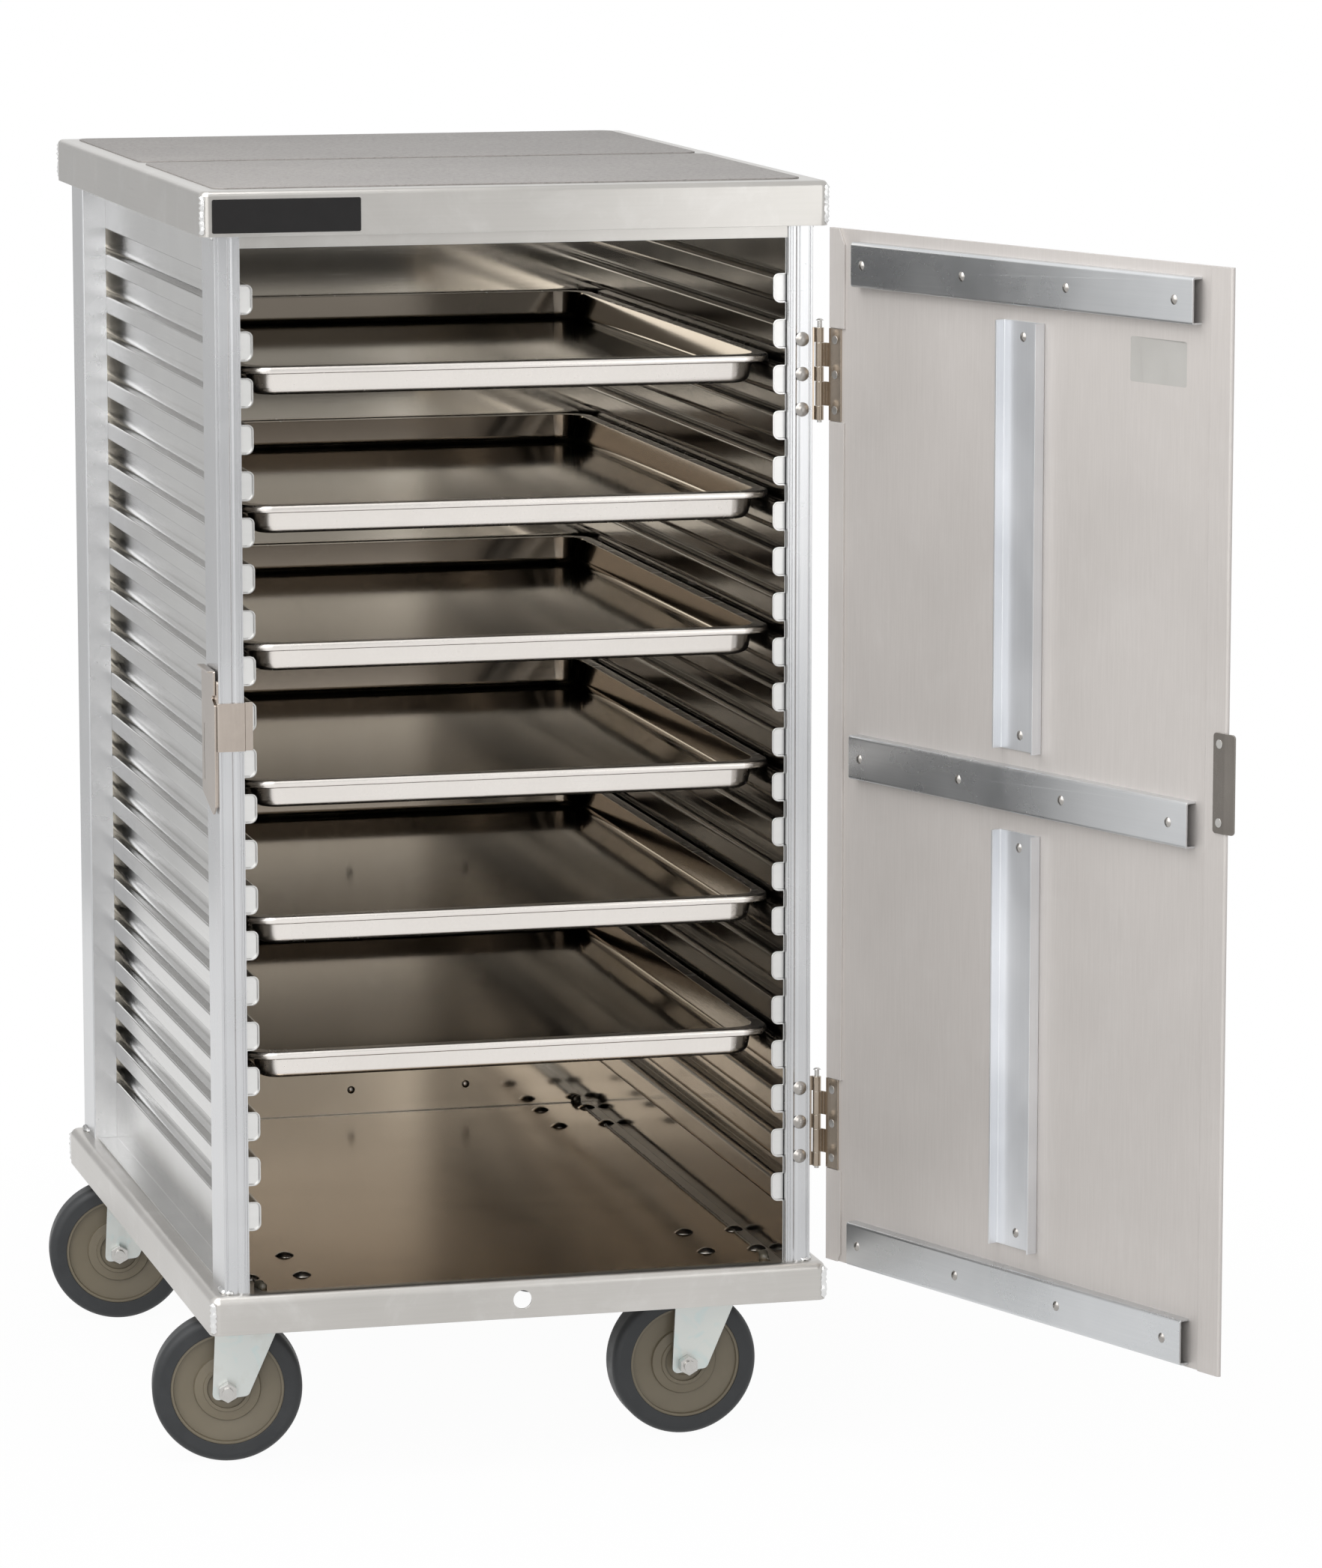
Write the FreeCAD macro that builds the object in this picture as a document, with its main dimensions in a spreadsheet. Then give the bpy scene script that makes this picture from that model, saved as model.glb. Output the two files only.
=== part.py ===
import FreeCAD, Part
import math
import os

import Sketcher

# An enclosed meal tray cart, its door standing open.  Millimetres and degrees.
# X runs to the right, Y to the back, Z up from the floor; the origin is on the floor
# under the middle of the cabinet.

Vector = FreeCAD.Vector
Rotation = FreeCAD.Rotation
Placement = FreeCAD.Placement

# ---------------------------------------------------------------- driving sizes
# A number is a size of its own; a formula ties a size to the ones above it.

SIZES = [
    ("cap_wide", 528.0),
    ("cap_deep", 700.0),
    ("cart_tall", 1080.0),
    ("sheet", 2.0),
    ("cap_high", 37.0),
    ("cap_round", 5.0),
    ("base_over_side", 1.0),
    ("base_over_end", 2.0),
    ("base_high", 33.0),
    ("base_round", 8.0),
    ("drain_hole", 16.0),
    ("mat_side_gap", 16.0),
    ("mat_front_gap", 26.0),
    ("mat_rear_gap", 16.0),
    ("mat_gap", 18.0),
    ("mat_round", 12.0),
    ("mat_thick", 1.2),
    ("plate_wide", 123.0),
    ("plate_high", 27.5),
    ("plate_thick", 1.2),
    ("post_margin", 12.0),
    ("post_wide", 21.0),
    ("post_deep", 54.0),
    ("post_inset", 6.0),
    ("post_sheet", 2.0),
    ("post_lip", 5.0),
    ("wall_thick", 1.2),
    ("rib_depth", 11.5),
    ("rib_tall", 24.5),
    ("rib_pitch", 38.1),
    ("rib_drop", 89.0),
    ("rib_foot", 45.0),
    ("ledge_wide", 18.0),
    ("stiffener_deep", 7.0),
    ("stiffener_tall", 30.0),
    ("header_drop", 10.0),
    ("pan_side_gap", 4.0),
    ("pan_front_gap", 32.0),
    ("pan_rear_gap", 11.0),
    ("pan_deep", 25.0),
    ("pan_sheet", 1.2),
    ("pan_tub_gap", 2.5),
    ("pan_bead", 6.4),
    ("pan_seat", 0.3),
    ("pan_first", 3.0),
    ("caster_in_side", 67.0),
    ("caster_in_front", 100.0),
    ("caster_in_rear", 74.0),
    ("caster_rise", 38.0),
    ("caster_trail", 35.0),
    ("wheel_round", 127.0),
    ("tyre_wide", 32.0),
    ("tyre_thick", 15.5),
    ("fork_gap", 38.0),
    ("fork_sheet", 3.0),
    ("axle_round", 9.5),
    ("plate_bolt_x", 44.45),
    ("plate_bolt_y", 74.6),
    ("swivel_front_left", 80.8),
    ("swivel_front_right", 90.0),
    ("swivel_rear_left", 82.5),
    ("swivel_rear_right", 84.3),
    ("hinge_out", 6.0),
    ("hinge_round", 7.0),
    ("pin_round", 4.0),
    ("hinge_upper_drop", 160.5),
    ("hinge_lower_rise", 120.5),
    ("hinge_tall", 77.0),
    ("leaf_thick", 1.4),
    ("leaf_gap", 0.5),
    ("door_turn", 291.4),
    ("door_edge", 8.0),
    ("door_over", 8.0),
    ("door_gap_low", 3.0),
    ("door_gap_high", 1.5),
    ("door_face", 3.0),
    ("door_sheet", 1.9),
    ("hem_hinge", 21.0),
    ("hem_free", 25.0),
    ("bar_gap_hinge", 21.0),
    ("bar_gap_free", 9.0),
    ("bar_gap_high", 1.0),
    ("bar_gap_low", 5.5),
    ("bar_tall", 37.0),
    ("bar_deep", 9.7),
    ("bar_middle_lift", 2.25),
    ("channel_wide", 51.0),
    ("channel_gap_upper", 13.0),
    ("channel_gap_lower", 17.0),
    ("latch_lift", 37.5),
    ("lever_pivot_in", 20.0),
    ("lever_pivot_drop", 59.0),
    ("base_wide", "=cap_wide + 2 * base_over_side"),
    ("base_deep", "=cap_deep + 2 * base_over_end"),
    ("base_top", "=wheel_round + caster_rise"),
    ("cap_low", "=cart_tall - cap_high"),
    ("mat_wide", "=cap_wide - 2 * mat_side_gap"),
    ("mat_deep", "=(cap_deep - mat_front_gap - mat_rear_gap - mat_gap) / 2"),
    ("mat_front_y", "=mat_front_gap + mat_deep / 2 - cap_deep / 2"),
    ("mat_rear_y", "=cap_deep / 2 - mat_rear_gap - mat_deep / 2"),
    ("post_outer", "=cap_wide / 2 - post_margin"),
    ("post_inner", "=post_outer - post_wide"),
    ("wall_front_gap", "=post_inset + post_lip + 1"),
    ("wall_rear_gap", "=post_inset + sheet"),
    ("wall_deep", "=cap_deep - wall_front_gap - wall_rear_gap"),
    ("wall_shift", "=(wall_front_gap - wall_rear_gap) / 2"),
    ("rib_top_z", "=cart_tall - rib_drop"),
    ("rib_count", "=floor((rib_top_z - base_top - rib_foot) / rib_pitch) + 1"),
    ("header_z", "=cap_low - header_drop"),
    ("pan_step", "=floor((rib_count - pan_first) / 6)"),
    ("pan_wide", "=2 * (post_inner - pan_side_gap)"),
    ("pan_long", "=cap_deep - pan_front_gap - pan_rear_gap"),
    ("pan_y", "=(pan_front_gap - pan_rear_gap) / 2"),
    ("pan_rim", "=rib_depth - pan_side_gap + pan_tub_gap"),
    ("caster_x", "=base_wide / 2 - caster_in_side"),
    ("caster_front_y", "=caster_in_front - base_deep / 2"),
    ("caster_rear_y", "=base_deep / 2 - caster_in_rear"),
    ("hinge_x", "=post_outer + hinge_out"),
    ("hinge_y", "=post_inset + post_sheet + leaf_gap + leaf_thick - hinge_round / 2 - cap_deep / 2"),
    ("hinge_upper_z", "=cart_tall - hinge_upper_drop"),
    ("hinge_lower_z", "=base_top + hinge_lower_rise"),
    ("door_wide", "=hinge_x - door_edge + post_outer + door_over"),
    ("door_low", "=base_top + door_gap_low"),
    ("door_high", "=cap_low - door_gap_high"),
    ("bar_start", "=hinge_x - post_inner + bar_gap_hinge"),
    ("bar_long", "=hinge_x + post_inner - bar_gap_free - bar_start"),
    ("bar_top_z", "=header_z - bar_gap_high - bar_tall / 2"),
    ("bar_bottom_z", "=base_top + bar_gap_low + bar_tall / 2"),
    ("bar_middle_z", "=(bar_top_z + bar_bottom_z) / 2 + bar_middle_lift"),
    ("channel_x", "=door_edge + (door_wide - channel_wide) / 2 + 0.5"),
    ("latch_z", "=bar_middle_z + latch_lift"),
    ("lever_pivot_y", "=lever_pivot_in - cap_deep / 2"),
    ("lever_pivot_z", "=latch_z - lever_pivot_drop"),
]

doc = FreeCAD.newDocument("meal_tray_cart")
sheet = doc.addObject("Spreadsheet::Sheet", "Sizes")


class Size:
    """A number together with the expression that gives it from the sheet."""

    def __init__(self, value, text):
        self.value = value
        self.text = text

    def __add__(self, other):
        other = size(other)
        return Size(self.value + other.value, "(%s + %s)" % (self.text, other.text))

    def __sub__(self, other):
        other = size(other)
        return Size(self.value - other.value, "(%s - %s)" % (self.text, other.text))

    def __mul__(self, other):
        other = size(other)
        return Size(self.value * other.value, "(%s * %s)" % (self.text, other.text))

    def __truediv__(self, other):
        other = size(other)
        return Size(self.value / other.value, "(%s / %s)" % (self.text, other.text))

    def __radd__(self, other):
        return size(other) + self

    def __rsub__(self, other):
        return size(other) - self

    def __rmul__(self, other):
        return size(other) * self

    def __neg__(self):
        return size(0) - self


def size(number):
    """Give any number as a Size."""
    if isinstance(number, Size):
        return number
    return Size(float(number), "%.6f" % number)


class Cells:
    """The sheet's cells by name."""


s = Cells()
for row, (name, value) in enumerate(SIZES, start=1):
    sheet.set("A%d" % row, name)
    sheet.set("B%d" % row, value if isinstance(value, str) else "%g" % value)
    sheet.setAlias("B%d" % row, name)
doc.recompute()
for name, value in SIZES:
    setattr(s, name, Size(float(sheet.get(name)), "Sizes." + name))

front_y = -s.cap_deep / 2
back_y = s.cap_deep / 2
PARTS = []


# ---------------------------------------------------------------- drawing helpers

def bind(thing, prop, number):
    """Tie a property to the sheet."""
    thing.setExpression(prop, size(number).text)


def part_label(thing, label):
    """Name a finished sub-part and keep it for the export."""
    thing.Label = label
    PARTS.append(thing)
    return thing


def new_body(label):
    """Start a sub-part that is drawn as a body."""
    return part_label(doc.addObject("PartDesign::Body", label + "_body"), label)


def place(thing, x=0, y=0, z=0, turn=None):
    """Tie a thing's place, and its turn about Z, to the sheet."""
    if turn is not None:
        thing.Placement = Placement(Vector(0, 0, 0), Rotation(Vector(0, 0, 1), 1.0))
        bind(thing, "Placement.Rotation.Angle", turn)
    bind(thing, "Placement.Base.x", x)
    bind(thing, "Placement.Base.y", y)
    bind(thing, "Placement.Base.z", z)
    return thing


def fix_point(sketch, index, corner):
    """Tie a point of the sketch to the two sizes of a corner."""
    for kind, number in (("DistanceX", corner[0]), ("DistanceY", corner[1])):
        number = size(number)
        which = sketch.addConstraint(Sketcher.Constraint(kind, -1, 1, index, 1, number.value))
        sketch.setExpression("Constraints[%d]" % which, number.text)


def rounded_corner(before, corner, after, radius):
    """The arc of a rounded corner, where its two straight sides end, and which end comes first."""
    one = (before - corner).normalize()
    two = (after - corner).normalize()
    half = one.getAngle(two) / 2
    reach = radius / math.tan(half)
    centre = corner + (one + two).normalize() * (radius / math.sin(half))
    leave = corner + one * reach
    join = corner + two * reach
    turns_left = (leave - centre).cross(join - centre).z > 0
    first, last = (leave, join) if turns_left else (join, leave)
    from_angle = math.atan2(first.y - centre.y, first.x - centre.x)
    to_angle = math.atan2(last.y - centre.y, last.x - centre.x)
    if to_angle < from_angle:
        to_angle += 2 * math.pi
    circle = Part.Circle(centre, Vector(0, 0, 1), radius)
    return leave, join, Part.ArcOfCircle(circle, from_angle, to_angle), 1 if turns_left else 2


def draw_outline(sketch, corners):
    """Draw a closed outline; a corner with a third number is rounded by it."""
    count = len(corners)
    spots = [Vector(size(c[0]).value, size(c[1]).value, 0) for c in corners]
    rounds = [size(c[2]).value if len(c) > 2 else 0.0 for c in corners]
    bends = []
    for i in range(count):
        if rounds[i] > 0:
            bends.append(rounded_corner(spots[i - 1], spots[i], spots[(i + 1) % count], rounds[i]))
        else:
            bends.append((spots[i], spots[i], None, 0))
    lines = []
    for i in range(count):
        line = Part.LineSegment(bends[i][1], bends[(i + 1) % count][0])
        lines.append(sketch.addGeometry(line, False))
    for i in range(count):
        before = lines[i - 1]
        after = lines[i]
        if rounds[i] == 0:
            sketch.addConstraint(Sketcher.Constraint("Coincident", before, 2, after, 1))
            fix_point(sketch, after, corners[i])
            continue
        near = bends[i][3]
        arc = sketch.addGeometry(bends[i][2], False)
        sketch.addConstraint(Sketcher.Constraint("Tangent", before, 2, arc, near))
        sketch.addConstraint(Sketcher.Constraint("Tangent", arc, 3 - near, after, 1))
        which = sketch.addConstraint(Sketcher.Constraint("Radius", arc, rounds[i]))
        sketch.setExpression("Constraints[%d]" % which, size(corners[i][2]).text)
        mark = sketch.addGeometry(Part.Point(spots[i]), True)
        fix_point(sketch, mark, corners[i])
        sketch.addConstraint(Sketcher.Constraint("PointOnObject", mark, 1, before))
        sketch.addConstraint(Sketcher.Constraint("PointOnObject", mark, 1, after))


def draw_ring(sketch, x, y, radius):
    """Draw a circle."""
    radius = size(radius)
    spot = Vector(size(x).value, size(y).value, 0)
    ring = sketch.addGeometry(Part.Circle(spot, Vector(0, 0, 1), radius.value), False)
    for kind, number in (("DistanceX", size(x)), ("DistanceY", size(y))):
        which = sketch.addConstraint(Sketcher.Constraint(kind, -1, 1, ring, 3, number.value))
        sketch.setExpression("Constraints[%d]" % which, number.text)
    which = sketch.addConstraint(Sketcher.Constraint("Radius", ring, radius.value))
    sketch.setExpression("Constraints[%d]" % which, radius.text)


def draw(body, role, outlines=(), rings=(), lift=0):
    """Make a sketch on one of the body's own planes, moved along its normal by lift."""
    sketch = body.newObject("Sketcher::SketchObject", body.Name + "_sketch")
    plane = [o for o in body.Origin.OriginFeatures if o.Role == role][0]
    sketch.AttachmentSupport = [(plane, "")]
    sketch.MapMode = "FlatFace"
    bind(sketch, "AttachmentOffset.Base.z", lift)
    for corners in outlines:
        draw_outline(sketch, corners)
    for ring in rings:
        draw_ring(sketch, *ring)
    return sketch


def add(body, kind, sketch, length, both=False, back=False):
    """Pad or pocket a sketch."""
    step = body.newObject("PartDesign::" + kind, body.Name + "_" + kind.lower())
    step.Profile = sketch
    if both:
        step.SideType = "Symmetric"
    bind(step, "Length", length)
    step.Reversed = back
    body.Tip = step
    return step


def spin(body, sketch, axis):
    """Turn a sketch all the way round one of its own axes."""
    step = body.newObject("PartDesign::Revolution", body.Name + "_spin")
    step.Profile = sketch
    step.ReferenceAxis = (sketch, [axis])
    step.Angle = 360
    body.Tip = step
    return step


def soften(body, test, radius):
    """Round the edges that the test picks."""
    doc.recompute()
    tip = body.Tip
    names = ["Edge%d" % (i + 1) for i, edge in enumerate(tip.Shape.Edges) if test(edge)]
    step = body.newObject("PartDesign::Fillet", body.Name + "_fillet")
    step.Base = (tip, names)
    bind(step, "Radius", radius)
    body.Tip = step
    return step


def hollow_out(body, z, wall):
    """Leave a shell of one wall thickness, open at the flat face at height z."""
    doc.recompute()
    tip = body.Tip
    z = size(z).value
    names = []
    for i, face in enumerate(tip.Shape.Faces):
        if abs(face.BoundBox.ZMin - z) < 1e-4 and abs(face.BoundBox.ZMax - z) < 1e-4:
            names.append("Face%d" % (i + 1))
    step = body.newObject("PartDesign::Thickness", body.Name + "_shell")
    step.Base = (tip, names)
    step.Reversed = True
    step.Join = 0
    bind(step, "Value", wall)
    body.Tip = step
    return step


def rectangle(x0, x1, y0, y1, radius=None):
    """Four corners of a rectangle, rounded where a radius is given."""
    corners = [(x0, y0), (x1, y0), (x1, y1), (x0, y1)]
    if radius is None:
        return corners
    return [corner + (radius,) for corner in corners]


def at_height(z):
    """A test for edges that lie level at height z."""
    z = size(z).value
    return lambda edge: abs(edge.BoundBox.ZMin - z) < 1e-4 and abs(edge.BoundBox.ZMax - z) < 1e-4


def box(name, x0, x1, y0, y1, z0, z1):
    """A plain block between six sizes."""
    block = doc.addObject("Part::Box", name)
    bind(block, "Length", size(x1) - x0)
    bind(block, "Width", size(y1) - y0)
    bind(block, "Height", size(z1) - z0)
    return place(block, x0, y0, z0)


def rod(name, radius, long, x, y, z, way=Vector(0, 0, 1)):
    """A cylinder that starts at x, y, z and runs along way."""
    bar = doc.addObject("Part::Cylinder", name)
    bar.Placement = Placement(Vector(0, 0, 0), Rotation(Vector(0, 0, 1), way))
    bind(bar, "Radius", radius)
    bind(bar, "Height", long)
    return place(bar, x, y, z)


def dome(name, radius, high, x, y, z, way=Vector(0, 0, 1)):
    """A shallow round head that stands on x, y, z and bulges along way."""
    ball = (radius * radius + high * high) / (2 * high)
    head = doc.addObject("Part::Sphere", name)
    turn = Rotation(Vector(0, 0, 1), way)
    head.Radius = ball
    head.Angle1 = math.degrees(math.asin((ball - high) / ball))
    head.Angle2 = 90
    head.Placement = Placement(Vector(0, 0, 0), turn)
    drop = ball - high
    return place(head, size(x) - way.x * drop, size(y) - way.y * drop, size(z) - way.z * drop)


def joined(name, pieces):
    """Fuse pieces that make one solid."""
    whole = doc.addObject("Part::MultiFuse", name)
    whole.Shapes = pieces
    return whole


def gathered(label, pieces):
    """Keep like pieces as separate solids of one sub-part."""
    group = doc.addObject("Part::Compound", label + "_group")
    group.Links = pieces
    return part_label(group, label)


def rivet(name, head, high, shank, long, x, y, z, way):
    """A domed head at x, y, z with its shank running the other way."""
    top = dome(name + "_head", head, high, x, y, z, way)
    stem = rod(name + "_shank", shank, long, x, y, z, way * -1)
    return joined(name, [top, stem])


def flat_screw(name, head, high, shank, long, x, y, z, way):
    """A flat round head at x, y, z with its shank running the other way."""
    top = rod(name + "_head", head, high, x, y, z, way)
    stem = rod(name + "_shank", shank, long, x, y, z, way * -1)
    return joined(name, [top, stem])


# ---------------------------------------------------------------- base pan

base_low = s.base_top - s.base_high
half_wide = s.base_wide / 2
half_deep = s.base_deep / 2

CASTERS = [
    ("front_left", -s.caster_x, s.caster_front_y, s.swivel_front_left),
    ("front_right", s.caster_x, s.caster_front_y, s.swivel_front_right),
    ("rear_left", -s.caster_x, s.caster_rear_y, s.swivel_rear_left),
    ("rear_right", s.caster_x, s.caster_rear_y, s.swivel_rear_right),
]
BOLTS = []
for corner, cx, cy, turn in CASTERS:
    for sx in (-1, 1):
        for sy in (-1, 1):
            BOLTS.append((cx + s.plate_bolt_x * (sx / 2), cy + s.plate_bolt_y * (sy / 2)))

base_pan = new_body("base_pan")
outer = rectangle(-half_wide, half_wide, -half_deep, half_deep, s.base_round)
add(base_pan, "Pad", draw(base_pan, "XY_Plane", [outer], lift=base_low), s.base_high)
soften(base_pan, at_height(s.base_top), s.base_round - 1)
hollow_out(base_pan, base_low, s.sheet)
bolt_holes = draw(base_pan, "XY_Plane", rings=[(x, y, 4.05) for x, y in BOLTS], lift=s.base_top + 1)
add(base_pan, "Pocket", bolt_holes, s.sheet + 4)
drain = draw(base_pan, "XZ_Plane", rings=[(0, s.base_top - 17, s.drain_hole / 2)], lift=half_deep + 1)
add(base_pan, "Pocket", drain, s.sheet + 3)

# ---------------------------------------------------------------- top cap, mats and blank plate

cap_half = s.cap_wide / 2
cap_in = s.cart_tall - s.sheet

top_cap = new_body("top_cap")
outer = rectangle(-cap_half, cap_half, front_y, back_y, s.cap_round + 2)
add(top_cap, "Pad", draw(top_cap, "XY_Plane", [outer], lift=s.cap_low), s.cap_high)
soften(top_cap, at_height(s.cart_tall), s.cap_round - 1)
mouth = rectangle(5.6 - cap_half, cap_half - 5.6, front_y + 5.6, back_y - 5.6, 2)
add(top_cap, "Pocket", draw(top_cap, "XY_Plane", [mouth], lift=s.cap_low), s.sheet + 1, back=True)
inner = rectangle(s.sheet - cap_half, cap_half - s.sheet, front_y + s.sheet, back_y - s.sheet, s.cap_round)
hollow = draw(top_cap, "XY_Plane", [inner], lift=s.cap_low + s.sheet)
add(top_cap, "Pocket", hollow, s.cap_high - s.sheet * 2, back=True)

for label, middle in (("top_mat_front", s.mat_front_y), ("top_mat_rear", s.mat_rear_y)):
    mat = new_body(label)
    edge = rectangle(-s.mat_wide / 2, s.mat_wide / 2, middle - s.mat_deep / 2, middle + s.mat_deep / 2,
                     s.mat_round)
    add(mat, "Pad", draw(mat, "XY_Plane", [edge], lift=s.cart_tall), s.mat_thick)
    soften(mat, at_height(s.cart_tall + s.mat_thick), 0.6)

name_plate = new_body("name_plate")
plate_left = size(9.4) - cap_half
plate_low = s.cap_low + 3
edge = rectangle(plate_left, plate_left + s.plate_wide, plate_low, plate_low + s.plate_high, 1.5)
add(name_plate, "Pad", draw(name_plate, "XZ_Plane", [edge], lift=-front_y), s.plate_thick)

# ---------------------------------------------------------------- corner posts

post_inner = s.post_inner
RIVET_DROPS = (s.hinge_tall * (29.0 / 77), size(0), -s.hinge_tall * (29.5 / 77))
HINGES = (("upper", s.hinge_upper_z), ("lower", s.hinge_lower_z))
hinge_rivet_x = s.post_outer - 9


def post_corners(side, start, way):
    """The extrusion's section: grooved face, side, return, and the two lips at its inner edge."""
    face = [
        (0.0, 0.5), (0.4, 0.0), (1.9, 0.0), (2.3, 0.6), (3.0, 0.6), (3.4, 0.2), (10.6, 0.2),
        (12.0, 1.0), (13.4, 1.0), (14.8, 0.2), (17.0, 0.2), (17.2, 0.7), (17.9, 0.7), (18.1, 0.0),
        (19.2, 0.0), (19.4, 0.6), (19.8, 0.6), (20.0, 0.0),
    ]
    corners = [(side * (s.post_outer - s.post_wide * (x / 21)), start + way * y) for x, y in face]
    corners.append((side * post_inner, start))
    corners.append((side * post_inner, start + way * s.post_lip))
    corners.append((side * (post_inner + 1.3), start + way * s.post_lip))
    corners.append((side * (post_inner + 1.3), start + way * s.post_sheet))
    corners.append((side * (s.post_outer - s.post_sheet), start + way * s.post_sheet))
    corners.append((side * (s.post_outer - s.post_sheet), start + way * (s.post_deep - s.post_sheet)))
    corners.append((side * post_inner, start + way * (s.post_deep - s.post_sheet)))
    corners.append((side * post_inner, start + way * s.post_deep))
    corners.append((side * s.post_outer, start + way * s.post_deep, 1.2))
    return corners


def make_post(label, side, start, way):
    """One post from the base to the underside of the cap's sheet."""
    post = new_body(label)
    section = draw(post, "XY_Plane", [post_corners(side, start, way)], lift=s.base_top)
    add(post, "Pad", section, cap_in - s.base_top)
    return post


make_post("post_front_left", -1, front_y + s.post_inset, 1)
make_post("post_rear_left", -1, back_y - s.post_inset, -1)
make_post("post_rear_right", 1, back_y - s.post_inset, -1)
hinge_post = make_post("post_front_right", 1, front_y + s.post_inset, 1)
slots = []
for name, z in HINGES:
    slot_near = s.hinge_y + s.hinge_round / 2 - s.leaf_thick - 0.6
    slots.append(rectangle(slot_near, slot_near + s.leaf_thick + 1,
                           z - s.hinge_tall / 2 - 0.5, z + s.hinge_tall / 2 + 0.5))
slot_sketch = draw(hinge_post, "YZ_Plane", slots, lift=s.post_outer + 1)
add(hinge_post, "Pocket", slot_sketch, 4)
rings = []
for name, z in HINGES:
    for drop in RIVET_DROPS:
        rings.append((hinge_rivet_x, z + drop, 2.55))
hole_sketch = draw(hinge_post, "XZ_Plane", rings=rings, lift=-front_y)
add(hinge_post, "Pocket", hole_sketch, s.post_inset + 4)

# ---------------------------------------------------------------- ribbed walls

rib_low_z = s.rib_top_z - (s.rib_count - 1) * s.rib_pitch


def make_wall(label, side):
    """A corrugated side wall whose ribs are the tray slides, with a ledge along its foot."""
    wall = new_body(label)
    outside = side * post_inner
    inside = side * (post_inner - s.wall_thick)
    crest = side * (post_inner - s.rib_depth)
    cave = side * (post_inner - s.rib_depth + s.wall_thick)
    half = s.rib_pitch / 2
    high = s.rib_tall / 2
    hole = high - s.wall_thick
    z = rib_low_z
    rib = [
        (outside, z - half), (outside, z - hole, 1.6), (cave, z - hole, 5.2), (cave, z + hole, 3.8),
        (outside, z + hole, 1.6), (outside, z + half), (inside, z + half), (inside, z + high, 0.6),
        (crest, z + high, 5), (crest, z - high, 6.4), (inside, z - high, 0.6), (inside, z - half),
    ]
    sketch = draw(wall, "XZ_Plane", [rib], lift=-s.wall_shift)
    add(wall, "Pad", sketch, s.wall_deep, both=True)
    row = wall.newObject("PartDesign::LinearPattern", label + "_row")
    row.Originals = [wall.Tip]
    row.Direction = (sketch, ["V_Axis"])
    bind(row, "Length", s.rib_pitch * (s.rib_count - 1))
    bind(row, "Occurrences", s.rib_count)
    wall.Tip = row
    top = rectangle(outside, inside, s.rib_top_z + half, cap_in)
    foot = rectangle(outside, inside, s.base_top, rib_low_z - half)
    add(wall, "Pad", draw(wall, "XZ_Plane", [top], lift=-s.wall_shift), s.wall_deep, both=True)
    add(wall, "Pad", draw(wall, "XZ_Plane", [foot], lift=-s.wall_shift), s.wall_deep, both=True)
    ledge = [
        (side * (post_inner - 0.2), s.base_top), (side * (post_inner + s.ledge_wide), s.base_top),
        (side * (post_inner + s.ledge_wide), s.base_top + 2.2),
        (side * (post_inner + s.ledge_wide - 1.4), s.base_top + 2.2),
        (side * (post_inner + s.ledge_wide - 1.4), s.base_top + s.wall_thick),
        (side * (post_inner - 0.2), s.base_top + s.wall_thick),
    ]
    clear = s.cap_deep - (s.post_inset + s.post_deep) * 2 - 0.6
    add(wall, "Pad", draw(wall, "XZ_Plane", [ledge]), clear, both=True)
    return wall


make_wall("wall_left", -1)
make_wall("wall_right", 1)

# ---------------------------------------------------------------- header, back panel and stiffeners

header = box("header", -post_inner, post_inner, front_y + 8, front_y + 8 + s.sheet, s.header_z, cap_in)
part_label(header, "front_header")

back_face = back_y - s.post_inset - s.sheet
BACK_X = (-110.0, 0.0, 110.0)
BACK_Z = (s.base_top + 23, s.base_top + 346, s.cart_tall - 220)
back_rings = [(x, z, 2.55) for x in BACK_X for z in BACK_Z]

back_panel = new_body("back_panel")
edge = rectangle(-post_inner, post_inner, s.base_top, cap_in)
add(back_panel, "Pad", draw(back_panel, "XZ_Plane", [edge], lift=-back_face), s.sheet, back=True)
holes = draw(back_panel, "XZ_Plane", rings=back_rings, lift=-back_face + 1)
add(back_panel, "Pocket", holes, s.sheet + 4)

stiffener_face = back_face + s.sheet
bars = []
for number, z in enumerate(BACK_Z, start=1):
    low = z - s.stiffener_tall / 2
    high = z + s.stiffener_tall / 2
    solid = box("back_bar_%d" % number, 2 - post_inner, post_inner - 2,
                stiffener_face, stiffener_face + s.stiffener_deep, low, high)
    room = box("back_bar_room_%d" % number, 1 - post_inner, post_inner - 1,
               stiffener_face + 1.6, stiffener_face + s.stiffener_deep - 1.6, low + 1.6, high - 1.6)
    drills = [rod("back_drill_%d_%d" % (number, i), 2.55, 2.4, x, stiffener_face - 0.4, z, Vector(0, 1, 0))
              for i, x in enumerate(BACK_X)]
    tools = joined("back_bar_tools_%d" % number, [room] + drills)
    cut = doc.addObject("Part::Cut", "back_bar_cut_%d" % number)
    cut.Base = solid
    cut.Tool = tools
    bars.append(cut)
gathered("back_stiffeners", bars)

cabinet_rivets = []
for i, (x, z, radius) in enumerate(back_rings):
    cabinet_rivets.append(rivet("back_rivet_%d" % i, 3.6, 1.3, 2.5, 4.6, x, back_face, z, Vector(0, -1, 0)))
for name, z in HINGES:
    for i, drop in enumerate(RIVET_DROPS):
        cabinet_rivets.append(rivet("hinge_rivet_%s_%d" % (name, i), 6, 2.6, 2.5, 4.6, hinge_rivet_x,
                                    front_y + s.post_inset + 0.2, z + drop, Vector(0, -1, 0)))
gathered("cabinet_rivets", cabinet_rivets)

# ---------------------------------------------------------------- hinges

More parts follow.
